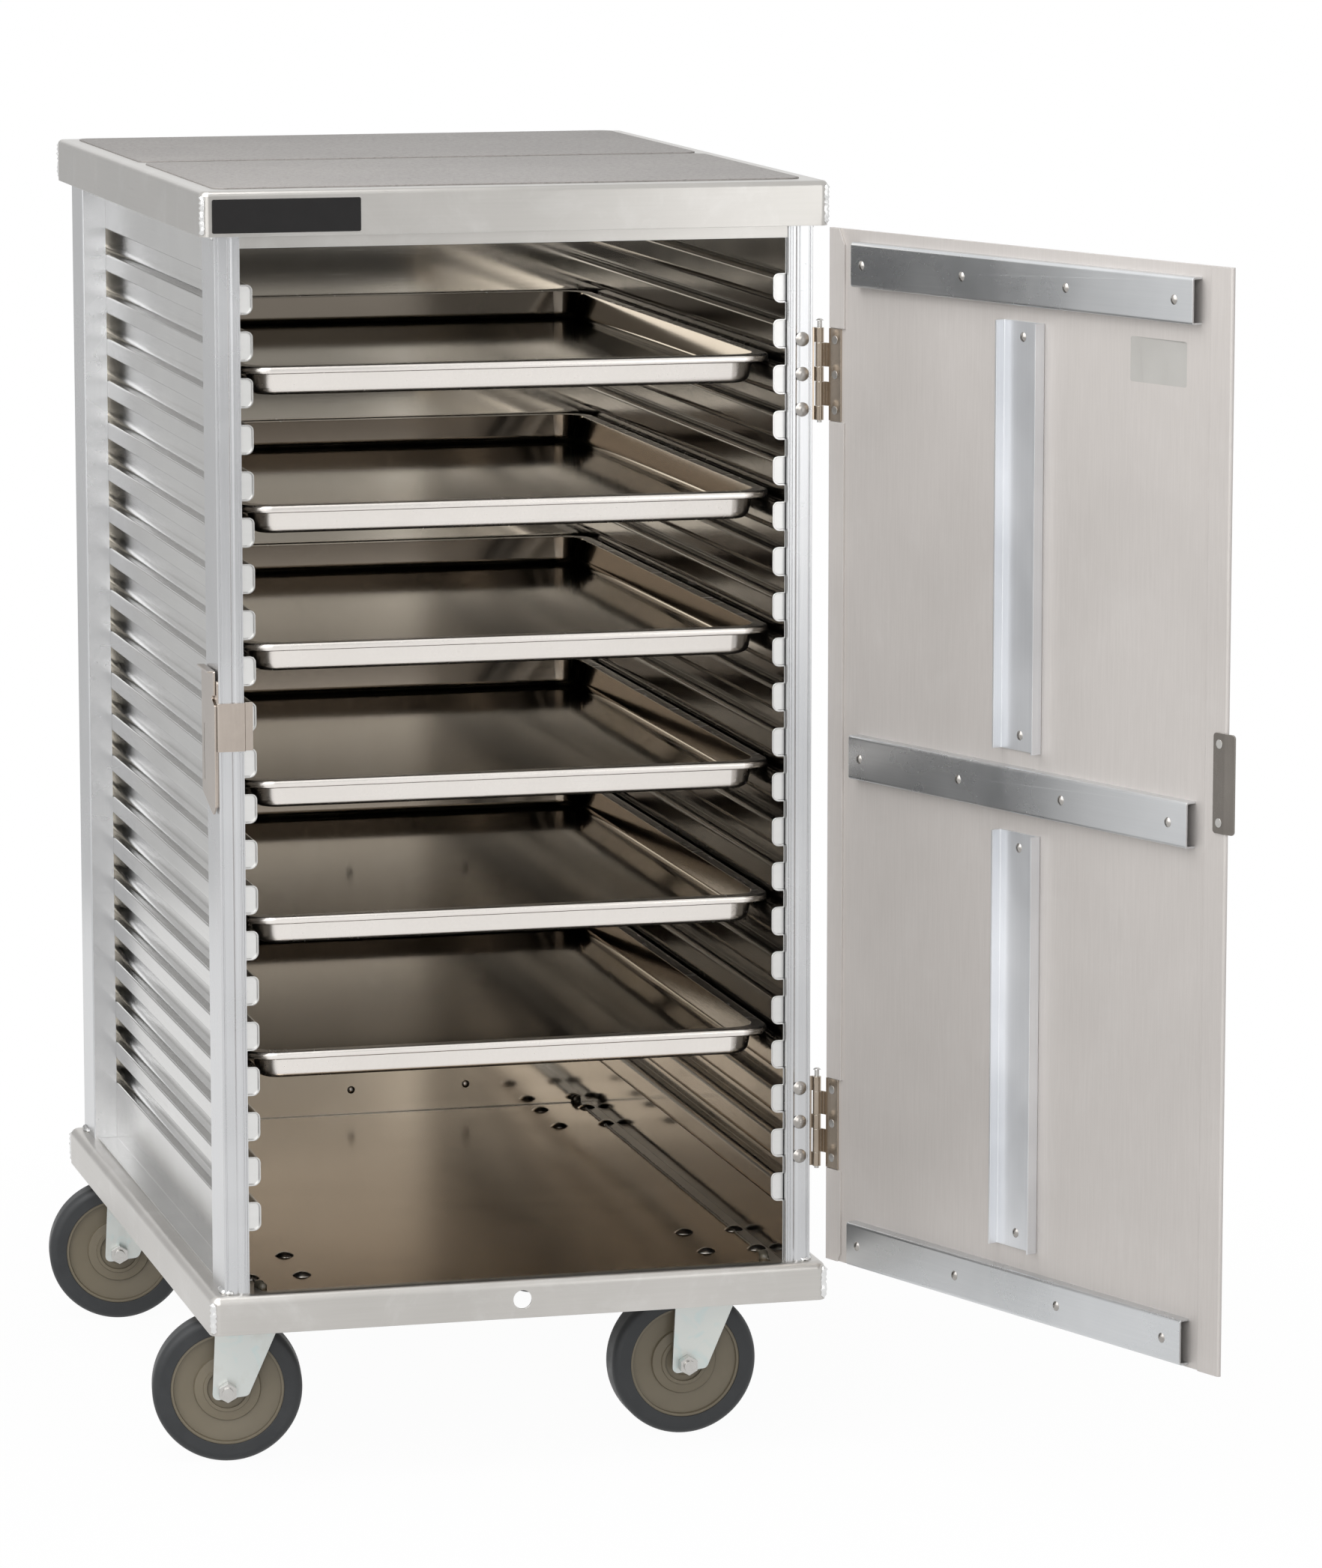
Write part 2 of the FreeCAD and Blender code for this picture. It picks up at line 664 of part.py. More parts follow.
barrel = s.hinge_round / 2
bore = s.pin_round / 2 + 0.05
KNUCKLES = [(s.hinge_tall * (low / 77), s.hinge_tall * (high / 77))
            for low, high in ((0.0, 11.7), (12.0, 32.0), (32.3, 44.3), (44.6, 64.4), (64.7, 77.0))]


def knuckle(body, low, high, arm):
    """One rolled knuckle and the arm that joins it to its leaf."""
    ring = draw(body, "XY_Plane", rings=[(0, 0, barrel)], lift=low)
    add(body, "Pad", ring, high - low)
    add(body, "Pad", draw(body, "XY_Plane", [arm], lift=low), high - low)


def bore_leaf(body):
    """Open the pin's hole through the knuckles."""
    hole = draw(body, "XY_Plane", rings=[(0, 0, bore)], lift=s.hinge_tall + 1)
    add(body, "Pocket", hole, s.hinge_tall + 2)


hinge_pins = []
for name, z in HINGES:
    low_z = z - s.hinge_tall / 2
    frame_leaf = new_body("hinge_frame_leaf_" + name)
    near = barrel - s.leaf_thick
    leaf = rectangle(post_inner + 2.5 - s.hinge_x, 2 - s.hinge_out, near, barrel)
    add(frame_leaf, "Pad", draw(frame_leaf, "XY_Plane", [leaf]), s.hinge_tall)
    for low, high in (KNUCKLES[0], KNUCKLES[2], KNUCKLES[4]):
        knuckle(frame_leaf, low, high, rectangle(1.5 - s.hinge_out, size(0), near, barrel))
    bore_leaf(frame_leaf)
    rings = [(hinge_rivet_x - s.hinge_x, s.hinge_tall / 2 + drop, 2.55) for drop in RIVET_DROPS]
    add(frame_leaf, "Pocket", draw(frame_leaf, "XZ_Plane", rings=rings, lift=0), 8)
    place(frame_leaf, s.hinge_x, s.hinge_y, low_z)

    door_leaf = new_body("hinge_door_leaf_" + name)
    skin_face = s.door_face + s.door_sheet + 0.1
    leaf = rectangle(s.door_edge, s.door_edge + 16, skin_face - s.leaf_thick, skin_face)
    add(door_leaf, "Pad", draw(door_leaf, "XY_Plane", [leaf]), s.hinge_tall)
    arm = [(size(0), near), (size(0), barrel), (size(4.8), skin_face), (s.door_edge + 0.5, skin_face),
           (s.door_edge + 0.5, skin_face - s.leaf_thick), (size(5.6), skin_face - s.leaf_thick)]
    for low, high in (KNUCKLES[1], KNUCKLES[3]):
        knuckle(door_leaf, low, high, arm)
    bore_leaf(door_leaf)
    rings = [(s.door_edge + 8, s.hinge_tall / 2 + drop, 2.05) for drop in RIVET_DROPS]
    add(door_leaf, "Pocket", draw(door_leaf, "XZ_Plane", rings=rings, lift=0), 10)
    place(door_leaf, s.hinge_x, s.hinge_y, low_z, s.door_turn)

    pin = rod("pin_%s" % name, s.pin_round / 2, s.hinge_tall + 9, s.hinge_x, s.hinge_y, low_z - 2)
    head = dome("pin_head_%s" % name, 3.35, 1.6, s.hinge_x, s.hinge_y, low_z + s.hinge_tall + 6)
    hinge_pins.append(joined("hinge_pin_%s" % name, [pin, head]))
gathered("hinge_pins", hinge_pins)

# ---------------------------------------------------------------- door
# The door is drawn about its hinge axis: X across the door, Y outwards, then turned open.

hem_face = s.door_face
skin_in = s.door_face + s.door_sheet + 0.1
skin_out = skin_in + s.door_sheet
door_end = s.door_edge + s.door_wide
RIVET_X = [14 + (s.bar_long - 36) * (i / 3) for i in range(4)]
BARS = (("top", s.bar_top_z), ("middle", s.bar_middle_z), ("bottom", s.bar_bottom_z))
bar_half = s.bar_tall / 2
CHANNELS = (
    ("upper", s.bar_middle_z + bar_half + s.channel_gap_upper, s.bar_top_z - bar_half - s.channel_gap_upper),
    ("lower", s.bar_bottom_z + bar_half + s.channel_gap_lower, s.bar_middle_z - bar_half - s.channel_gap_lower),
)
channel_rivet_x = s.channel_x + s.channel_wide / 2

door_skin = new_body("door_skin")
fold = s.door_sheet + 0.04
section = [
    (s.door_edge, hem_face, fold), (s.door_edge, skin_out, fold), (door_end, skin_out, fold),
    (door_end, hem_face, fold), (door_end - s.hem_free, hem_face), (door_end - s.hem_free, skin_in - 0.1),
    (door_end - s.door_sheet, skin_in - 0.1), (door_end - s.door_sheet, skin_in),
    (s.door_edge + s.door_sheet, skin_in), (s.door_edge + s.door_sheet, skin_in - 0.1),
    (s.door_edge + s.hem_hinge, skin_in - 0.1), (s.door_edge + s.hem_hinge, hem_face),
]
add(door_skin, "Pad", draw(door_skin, "XY_Plane", [section], lift=s.door_low), s.door_high - s.door_low)
notches = []
for name, z in HINGES:
    notches.append(rectangle(s.door_edge - 1, s.door_edge + s.hem_hinge + 1,
                             z - s.hinge_tall / 2 - 0.6, z + s.hinge_tall / 2 + 0.6))
notch_sketch = draw(door_skin, "XZ_Plane", notches, lift=-skin_in)
add(door_skin, "Pocket", notch_sketch, 8, back=True)
hem_end = s.door_edge + s.hem_hinge
snips = [
    [(hem_end - 7, s.door_high + 1), (hem_end - 7, s.door_high), (hem_end + 0.5, s.door_high - 14),
     (hem_end + 0.5, s.door_high + 1)],
    [(hem_end - 4, s.door_low - 1), (hem_end - 4, s.door_low), (hem_end + 0.5, s.door_low + 9),
     (hem_end + 0.5, s.door_low - 1)],
]
snip_sketch = draw(door_skin, "XZ_Plane", snips, lift=-skin_in + 0.05)
add(door_skin, "Pocket", snip_sketch, 8, back=True)
rings = [(s.bar_start + x, z, 2.05) for name, z in BARS for x in RIVET_X]
for name, low, high in CHANNELS:
    rings.append((channel_rivet_x, low + 12.5, 2.05))
    rings.append((channel_rivet_x, high - 12.5, 2.05))
strike_x = door_end - 7
STRIKE_Z = (s.latch_z + 30.5, s.latch_z - 31.5)
for z in STRIKE_Z:
    rings.append((strike_x, z, 2.05))
for name, z in HINGES:
    for drop in RIVET_DROPS:
        rings.append((s.door_edge + 8, z + drop, 2.05))
hole_sketch = draw(door_skin, "XZ_Plane", rings=rings, lift=-hem_face + 1)
add(door_skin, "Pocket", hole_sketch, 8, back=False)
place(door_skin, s.hinge_x, s.hinge_y, 0, s.door_turn)


def bar_section(low, high):
    """The open channel section of the door's stiffeners, seen along its length."""
    top = skin_in - s.bar_deep
    return [
        (skin_in, low), (top, low, 2.6), (top, high, 2.6), (skin_in, high), (skin_in, high - 1.6),
        (top + 1.6, high - 1.6, 1), (top + 1.6, low + 1.6, 1), (skin_in, low + 1.6),
    ]


for name, z in BARS:
    bar = new_body("door_bar_" + name)
    section = bar_section(z - bar_half, z + bar_half)
    add(bar, "Pad", draw(bar, "YZ_Plane", [section], lift=s.bar_start), s.bar_long)
    rings = [(s.bar_start + x, z, 2.05) for x in RIVET_X]
    add(bar, "Pocket", draw(bar, "XZ_Plane", rings=rings, lift=s.bar_deep), 12)
    place(bar, s.hinge_x, s.hinge_y, 0, s.door_turn)

channel_web = 1.6
for name, low, high in CHANNELS:
    channel = new_body("door_channel_" + name)
    left = s.channel_x
    right = s.channel_x + s.channel_wide
    lip = skin_in - s.bar_deep
    section = [(left, skin_in, 0.8), (left, lip), (left + 1.7, lip), (left + 1.7, skin_in - channel_web, 0.8),
               (right - 1.7, skin_in - channel_web, 0.8), (right - 1.7, lip), (right, lip), (right, skin_in, 0.8)]
    add(channel, "Pad", draw(channel, "XY_Plane", [section], lift=low), high - low)
    rings = [(channel_rivet_x, low + 12.5, 2.05), (channel_rivet_x, high - 12.5, 2.05)]
    add(channel, "Pocket", draw(channel, "XZ_Plane", rings=rings, lift=0), 12)
    place(channel, s.hinge_x, s.hinge_y, 0, s.door_turn)

bar_face = skin_in - s.bar_deep
door_rivets = []
inward = Vector(0, -1, 0)
spots = [(s.bar_start + x, z, bar_face) for name, z in BARS for x in RIVET_X]
for name, low, high in CHANNELS:
    spots.append((channel_rivet_x, low + 12.5, skin_in - channel_web))
    spots.append((channel_rivet_x, high - 12.5, skin_in - channel_web))
for i, (x, z, face) in enumerate(spots):
    door_rivets.append(rivet("door_rivet_%d" % i, 4, 1.7, 2, skin_out + 0.6 - face, x, face, z, inward))
rivet_group = gathered("door_rivets", door_rivets)
place(rivet_group, s.hinge_x, s.hinge_y, 0, s.door_turn)

strike_plate = new_body("strike_plate")
strike = [
    (door_end - 14, hem_face), (door_end - 14, hem_face - 1.1), (door_end - 0.6, hem_face - 1.1, 2.2),
    (door_end + 9.6, hem_face + 0.5), (door_end + 9.4, hem_face + 1.6), (door_end - 0.9, hem_face, 1.1),
]
low = s.latch_z - 40
add(strike_plate, "Pad", draw(strike_plate, "XY_Plane", [strike], lift=low), 79)


def upright_corner(edge):
    """A test for the short edges at the strike plate's four corners."""
    box_ = edge.BoundBox
    ends = min(abs(edge.CenterOfMass.z - low.value), abs(edge.CenterOfMass.z - low.value - 79))
    middle = (door_end - 0.6).value
    return ends < 1e-4 and edge.Length < 1.4 and abs(box_.Center.x - middle) > 6


soften(strike_plate, upright_corner, 3)
rings = [(strike_x, z, 2.05) for z in STRIKE_Z]
add(strike_plate, "Pocket", draw(strike_plate, "XZ_Plane", rings=rings, lift=-hem_face + 3), 8)
place(strike_plate, s.hinge_x, s.hinge_y, 0, s.door_turn)

door_screws = []
for i, z in enumerate(STRIKE_Z):
    door_screws.append(flat_screw("strike_screw_%d" % i, 3.6, 0.4, 2, 5.4, strike_x, hem_face - 1.1, z, inward))
for name, z in HINGES:
    for i, drop in enumerate(RIVET_DROPS):
        door_screws.append(flat_screw("hinge_screw_%s_%d" % (name, i), 3.6, 0.3, 2, 3.6, s.door_edge + 8,
                                      skin_in - s.leaf_thick, z + drop, inward))
screw_group = gathered("door_screws", door_screws)
place(screw_group, s.hinge_x, s.hinge_y, 0, s.door_turn)

# ---------------------------------------------------------------- latch on the front left post

latch_x = -s.post_outer
latch_front = front_y + s.post_inset
latch_bracket = new_body("latch_bracket")
strap = [
    (latch_x, latch_front + 4), (latch_x - 1.3, latch_front + 4), (latch_x - 1.3, latch_front - 1.2, 1.4),
    (-post_inner + 1.2, latch_front - 1.2, 1.3), (-post_inner + 1.2, latch_front + 3.1),
    (-post_inner + 8, latch_front + 3.1), (-post_inner + 8, latch_front + 4.3),
    (-post_inner, latch_front + 4.3), (-post_inner, latch_front), (latch_x, latch_front),
]
add(latch_bracket, "Pad", draw(latch_bracket, "XY_Plane", [strap], lift=s.latch_z - 20), 40)
side_plate = [
    (latch_front + 4, s.latch_z - 68, 3), (latch_front + 44, s.latch_z - 60, 4),
    (latch_front + 44, s.latch_z + 38, 4), (latch_front + 1, s.latch_z + 38, 3),
]
side_sketch = draw(latch_bracket, "YZ_Plane", [side_plate], lift=latch_x - 1.3)
add(latch_bracket, "Pad", side_sketch, 1.3)
pivot_hole = draw(latch_bracket, "YZ_Plane", rings=[(s.lever_pivot_y, s.lever_pivot_z, 2.55)], lift=latch_x + 1)
add(latch_bracket, "Pocket", pivot_hole, 4)

lever_in = latch_x - 1.6
latch_lever = new_body("latch_lever")
lever_side = [
    (latch_front + 2, s.latch_z - 66, 4), (latch_front + 12, s.latch_z - 74, 4),
    (latch_front + 58, s.latch_z - 60, 6), (latch_front + 58, s.latch_z + 46, 6),
    (latch_front + 6, s.latch_z + 46, 2), (latch_front + 6, s.latch_z + 26),
    (latch_front + 13, s.latch_z + 26), (latch_front + 13, s.latch_z + 22, 2),
    (latch_front + 2, s.latch_z + 18, 2),
]
lever_sketch = draw(latch_lever, "YZ_Plane", [lever_side], lift=lever_in - 1.6)
add(latch_lever, "Pad", lever_sketch, 1.6)
tab = rectangle(lever_in - 6, lever_in, latch_front + 8, latch_front + 54)
add(latch_lever, "Pad", draw(latch_lever, "XY_Plane", [tab], lift=s.latch_z + 44.6), 1.4)
slit = [
    (latch_front + 46, s.latch_z - 50), (latch_front + 48.4, s.latch_z - 50, 0.8),
    (latch_front + 50.4, s.latch_z - 24, 8), (latch_front + 48.4, s.latch_z - 2, 0.8),
    (latch_front + 46, s.latch_z - 2), (latch_front + 48, s.latch_z - 24, 8),
]
add(latch_lever, "Pocket", draw(latch_lever, "YZ_Plane", [slit], lift=lever_in + 1), 6)
pin_hole = draw(latch_lever, "YZ_Plane", rings=[(s.lever_pivot_y, s.lever_pivot_z, 2.5)], lift=lever_in - 1.6)
add(latch_lever, "Pad", pin_hole, 3.0)

# ---------------------------------------------------------------- sheet pans

PAN_RIBS = [s.pan_first + s.pan_step * i for i in range(6)]
pan_corner = 24.0
pan_slope = 12.0
pan_fillet = size(8)


def rim_edge(half_x, half_y, high):
    """A test for the rim's outer edges, above and below, and the inner one below."""
    def test(edge):
        box = edge.BoundBox
        if at_height(0)(edge):
            return True
        outside = max(abs(box.XMin), abs(box.XMax)) > half_x - 0.01
        outside = outside or max(abs(box.YMin), abs(box.YMax)) > half_y - 0.01
        return at_height(high)(edge) and outside
    return test


for number, rib in enumerate(PAN_RIBS, start=1):
    pan = new_body("sheet_pan_%d" % number)
    half_x = s.pan_wide / 2
    half_y = s.pan_long / 2
    bead = s.pan_bead
    tub_x = half_x - s.pan_rim
    tub_y = half_y - s.pan_rim
    tub = rectangle(-tub_x, tub_x, -tub_y, tub_y, pan_corner)
    tub_sketch = draw(pan, "XY_Plane", [tub], lift=bead)
    tub_pad = add(pan, "Pad", tub_sketch, s.pan_deep, back=True)
    tub_pad.TaperAngle = -pan_slope
    inside = rectangle(s.pan_sheet - tub_x, tub_x - s.pan_sheet, s.pan_sheet - tub_y, tub_y - s.pan_sheet,
                       pan_corner - s.pan_sheet)
    scoop = add(pan, "Pocket", draw(pan, "XY_Plane", [inside], lift=bead), s.pan_deep - s.pan_sheet)
    scoop.TaperAngle = -pan_slope
    soften(pan, at_height(bead - s.pan_deep), pan_fillet)
    soften(pan, at_height(bead - s.pan_deep + s.pan_sheet), pan_fillet - s.pan_sheet)
    opening = rectangle(1 - tub_x, tub_x - 1, 1 - tub_y, tub_y - 1, pan_corner - 1)
    brim = rectangle(-half_x + 2, half_x - 2, -half_y + 2, half_y - 2, 24)
    add(pan, "Pad", draw(pan, "XY_Plane", [brim, opening], lift=bead - s.pan_sheet), s.pan_sheet)
    edge = rectangle(-half_x, half_x, -half_y, half_y, 26)
    inset = rectangle(bead - half_x, half_x - bead, bead - half_y, half_y - bead, 26 - bead)
    add(pan, "Pad", draw(pan, "XY_Plane", [edge, inset]), bead)
    soften(pan, rim_edge(half_x.value, half_y.value, bead.value), 2.4)
    rib_z = s.rib_top_z - (rib - 1) * s.rib_pitch + s.rib_tall / 2
    place(pan, 0, s.pan_y, rib_z + s.pan_seat)

# ---------------------------------------------------------------- casters
# Each caster is drawn about its swivel axis with the wheel trailing along its own Y.

floor_low = s.base_top - s.sheet
crown_z = floor_low - 27
axle_z = s.wheel_round / 2
axle = s.axle_round / 2
hex_round = s.axle_round * 0.88
gap_half = s.fork_gap / 2
leg_out = gap_half + s.fork_sheet

plates = []
kingpins = []
bolts = []
nuts = []
bolt_number = 0
for corner, cx, cy, turn in CASTERS:
    fork = new_body("caster_fork_" + corner)
    leg = [
        (size(-16), crown_z + 2), (size(-16), crown_z), (s.caster_trail - 17.5, axle_z - 4.5, 5),
        (s.caster_trail + 13, axle_z - 8.5, 5), (s.caster_trail + 9, crown_z + 2),
    ]
    for x in (-leg_out, gap_half):
        add(fork, "Pad", draw(fork, "YZ_Plane", [leg], lift=x), s.fork_sheet)
    crown = [
        (-leg_out, size(-16)), (leg_out, size(-16)), (leg_out, s.caster_trail + 9),
        (-leg_out, s.caster_trail + 9),
    ]
    add(fork, "Pad", draw(fork, "XY_Plane", [crown], lift=crown_z), s.fork_sheet)
    add(fork, "Pad", draw(fork, "XY_Plane", rings=[(0, 0, 27)], lift=crown_z), 12.2)
    add(fork, "Pocket", draw(fork, "XY_Plane", rings=[(0, 0, 6.05)], lift=crown_z + 24), 30)
    add(fork, "Pocket", draw(fork, "YZ_Plane", rings=[(s.caster_trail, axle_z, axle + 0.06)], lift=leg_out + 10),
        s.fork_gap * 2)
    place(fork, cx, cy, 0, turn)

    hub = new_body("wheel_hub_" + corner)
    rim = axle_z - s.tyre_thick
    half = s.tyre_wide / 2
    boss = gap_half - 0.3
    side = [
        (boss, axle + 0.06), (boss, size(10)), (half - 4, size(12)), (half - 4, size(17)), (half - 2, size(17)),
        (half - 2, size(20)), (half - 3.5, size(20.5)), (half - 4.5, rim - 20.2), (half - 7, rim - 19.4),
        (half - 4.5, rim - 2.6), (half - 1, rim - 2.3), (half - 1, rim),
    ]
    section = [(-x, y) for x, y in side] + side[::-1]
    spin(hub, draw(hub, "XY_Plane", [section]), "H_Axis")
    tyre = new_body("wheel_tyre_" + corner)
    section = [
        (-half, rim + 0.02), (-half, axle_z, 7), (half, axle_z, 7), (half, rim + 0.02),
    ]
    spin(tyre, draw(tyre, "XY_Plane", [section]), "H_Axis")
    cosine = "cos(%s * 1 deg)" % turn.text
    sine = "sin(%s * 1 deg)" % turn.text
    for wheel in (hub, tyre):
        place(wheel, cx, cy, axle_z, turn)
        wheel.setExpression("Placement.Base.x", "%s - Sizes.caster_trail * %s" % (cx.text, sine))
        wheel.setExpression("Placement.Base.y", "%s + Sizes.caster_trail * %s" % (cy.text, cosine))

    along = Vector(1, 0, 0)
    name = corner
    shaft = rod("axle_shaft_" + name, axle, leg_out * 2 + 11.6, -leg_out - 11.3, s.caster_trail, axle_z, along)
    head = doc.addObject("Part::Prism", "axle_head_" + name)
    head.Polygon = 6
    bind(head, "Circumradius", hex_round)
    head.Height = 6
    head.Placement = Placement(Vector(0, 0, 0), Rotation(Vector(0, 0, 1), along))
    place(head, leg_out + 0.3, s.caster_trail, axle_z)
    bolt = joined("axle_whole_" + name, [shaft, head])
    nut_block = doc.addObject("Part::Prism", "axle_nut_block_" + name)
    nut_block.Polygon = 6
    bind(nut_block, "Circumradius", hex_round)
    nut_block.Height = 8
    nut_block.Placement = Placement(Vector(0, 0, 0), Rotation(Vector(0, 0, 1), along))
    place(nut_block, -leg_out - 8.3, s.caster_trail, axle_z)
    nut_bore = rod("axle_nut_bore_" + name, axle + 0.02, 10, -leg_out - 9.3, s.caster_trail, axle_z, along)
    nut = doc.addObject("Part::Cut", "axle_nut_" + name)
    nut.Base = nut_block
    nut.Tool = nut_bore
    axle_set = gathered("axle_bolt_" + corner, [bolt, nut])
    place(axle_set, cx, cy, 0, turn)

    plate = box("plate_blank_" + name, cx - 32, cx + 32, cy - 46, cy + 46, floor_low - 3, floor_low)
    race = rod("plate_race_" + name, 28, 12, cx, cy, floor_low - 14.5)
    body = joined("plate_whole_" + name, [plate, race])
    drills = [rod("plate_king_" + name, 6.02, 20, cx, cy, floor_low - 16)]
    for i, (x, y) in enumerate(BOLTS[bolt_number:bolt_number + 4]):
        drills.append(rod("plate_drill_%s_%d" % (name, i), 4.05, 6, x, y, floor_low - 4.5))
    tool = joined("plate_tools_" + name, drills)
    cut = doc.addObject("Part::Cut", "plate_cut_" + name)
    cut.Base = body
    cut.Tool = tool
    plates.append(cut)

    shank = rod("king_shank_" + name, 6, 32, cx, cy, crown_z - 5)
    foot = rod("king_foot_" + name, 11, 4.7, cx, cy, crown_z - 5)
    kingpins.append(joined("king_" + name, [shank, foot]))

    for i, (x, y) in enumerate(BOLTS[bolt_number:bolt_number + 4]):
        bolts.append(rivet("mount_bolt_%s_%d" % (name, i), 8.2, 3.4, 4, 17, x, y, s.base_top, Vector(0, 0, 1)))
        block = doc.addObject("Part::Prism", "mount_nut_block_%s_%d" % (name, i))
        block.Polygon = 6
        block.Circumradius = 7.4
        block.Height = 6
        place(block, x, y, floor_low - 9)
        hole = rod("mount_nut_bore_%s_%d" % (name, i), 4.02, 8, x, y, floor_low - 10)
        nut = doc.addObject("Part::Cut", "mount_nut_%s_%d" % (name, i))
        nut.Base = block
        nut.Tool = hole
        nuts.append(nut)
    bolt_number += 4
gathered("caster_plates", plates)
gathered("caster_kingpins", kingpins)
gathered("caster_bolts", bolts)
gathered("caster_nuts", nuts)

# ---------------------------------------------------------------- check and write out

doc.recompute()
faults = []
for thing in doc.Objects:
    if "Invalid" in thing.State or "Error" in thing.State:
        faults.append("%s: %s" % (thing.Name, thing.State))
for part in PARTS:
    shape = part.Shape
    if shape.isNull() or not shape.isValid() or not shape.Solids:
        faults.append("%s: no valid solid" % part.Label)
if faults:
    raise RuntimeError("; ".join(faults))

os.makedirs("parts", exist_ok=True)
for part in PARTS:
    part.Shape.exportStep("parts/%s.step" % part.Label)
print("%d sub-parts written" % len(PARTS))
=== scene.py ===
import math
import random

import bmesh
import bpy
from mathutils import Matrix, Vector


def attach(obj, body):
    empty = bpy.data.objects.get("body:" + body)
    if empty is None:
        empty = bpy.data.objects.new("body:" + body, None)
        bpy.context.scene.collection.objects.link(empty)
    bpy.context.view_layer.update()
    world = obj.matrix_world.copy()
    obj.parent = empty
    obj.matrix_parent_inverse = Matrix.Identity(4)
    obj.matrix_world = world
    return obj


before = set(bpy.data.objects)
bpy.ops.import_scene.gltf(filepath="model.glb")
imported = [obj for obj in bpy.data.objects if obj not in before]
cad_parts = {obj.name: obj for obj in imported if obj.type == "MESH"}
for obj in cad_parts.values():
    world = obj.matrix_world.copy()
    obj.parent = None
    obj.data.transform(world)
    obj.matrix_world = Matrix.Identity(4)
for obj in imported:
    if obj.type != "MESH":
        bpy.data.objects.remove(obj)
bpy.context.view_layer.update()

# ---------------------------------------------------------------- base pan
# The cart stands on one sheet of aluminium folded down on four sides, its corners
# closed with hand-laid weld beads.  The mill finish shows fine lengthwise grain,
# and the skirt is scuffed where it gets knocked.


def add_node(tree, kind, inputs=None, **settings):
    """One shader node, its settings made and its inputs given a value or a link."""
    made = tree.nodes.new(kind)
    for name, value in settings.items():
        setattr(made, name, value)
    for key, value in (inputs or {}).items():
        if isinstance(value, bpy.types.NodeSocket):
            tree.links.new(value, made.inputs[key])
        else:
            made.inputs[key].default_value = value
    return made


def reckon(tree, operation, *values, clamp=False):
    """The result of one sum on up to three values."""
    made = add_node(tree, "ShaderNodeMath", dict(enumerate(values)), operation=operation, use_clamp=clamp)
    return made.outputs[0]


def ramp(tree, value, low=0.0, high=1.0, out_low=0.0, out_high=1.0):
    """A value carried from one range to another, and held within it."""
    ends = {"From Min": low, "From Max": high, "To Min": out_low, "To Max": out_high}
    return add_node(tree, "ShaderNodeMapRange", {"Value": value, **ends}).outputs[0]


def noise(tree, place, scale, detail, **more):
    inputs = {"Vector": place, "Scale": scale, "Detail": detail, **more}
    return add_node(tree, "ShaderNodeTexNoise", inputs).outputs["Fac"]


def round_edges(tree, radius):
    return add_node(tree, "ShaderNodeBevel", {"Radius": radius}, samples=4).outputs[0]


def relief(tree, height, distance, strength=1.0, **more):
    inputs = {"Strength": strength, "Distance": distance, "Height": height, **more}
    return add_node(tree, "ShaderNodeBump", inputs).outputs[0]


def new_effect(name, inputs, outputs):
    """An empty shader group with its named sockets."""
    effect = bpy.data.node_groups.new(name, "ShaderNodeTree")
    for label, kind in inputs:
        effect.interface.new_socket(label, in_out="INPUT", socket_type=kind)
    for label, kind in outputs:
        effect.interface.new_socket(label, in_out="OUTPUT", socket_type=kind)
    return effect, effect.nodes.new("NodeGroupInput").outputs


def give_out(effect, **results):
    out = effect.nodes.new("NodeGroupOutput")
    for label, socket in results.items():
        effect.links.new(socket, out.inputs[label.replace("_", " ")])


# Grain: streaks drawn out along the rolling direction, slow cloudy tone, and edges
# that are rounded and rubbed bright.
grain_effect, given = new_effect(
    "grain",
    [("Coordinates", "NodeSocketVector"), ("Stretch", "NodeSocketVector"),
     ("Depth", "NodeSocketFloat"), ("Edge", "NodeSocketFloat")],
    [("Streaks", "NodeSocketFloat"), ("Clouds", "NodeSocketFloat"),
     ("Worn Edge", "NodeSocketFloat"), ("Normal", "NodeSocketVector")],
)
drawn = {0: given["Coordinates"], 1: given["Stretch"]}
stretched = add_node(grain_effect, "ShaderNodeVectorMath", drawn, operation="MULTIPLY").outputs[0]
streaks = ramp(grain_effect, noise(grain_effect, stretched, 1.0, 4.0, Roughness=0.5), 0.2, 0.8)
broad = noise(grain_effect, given["Coordinates"], 5.5, 3.0, Roughness=0.55, Distortion=0.4)
clouds = ramp(grain_effect, broad, 0.32, 0.68)
rounded = round_edges(grain_effect, given["Edge"])
true_face = add_node(grain_effect, "ShaderNodeNewGeometry").outputs["Normal"]
faces = {0: rounded, 1: true_face}
facing = add_node(grain_effect, "ShaderNodeVectorMath", faces, operation="DOT_PRODUCT").outputs["Value"]
edge = ramp(grain_effect, facing, 0.995, 0.86)
bumped = relief(grain_effect, streaks, given["Depth"], Normal=rounded)
give_out(grain_effect, Streaks=streaks, Clouds=clouds, Worn_Edge=edge, Normal=bumped)

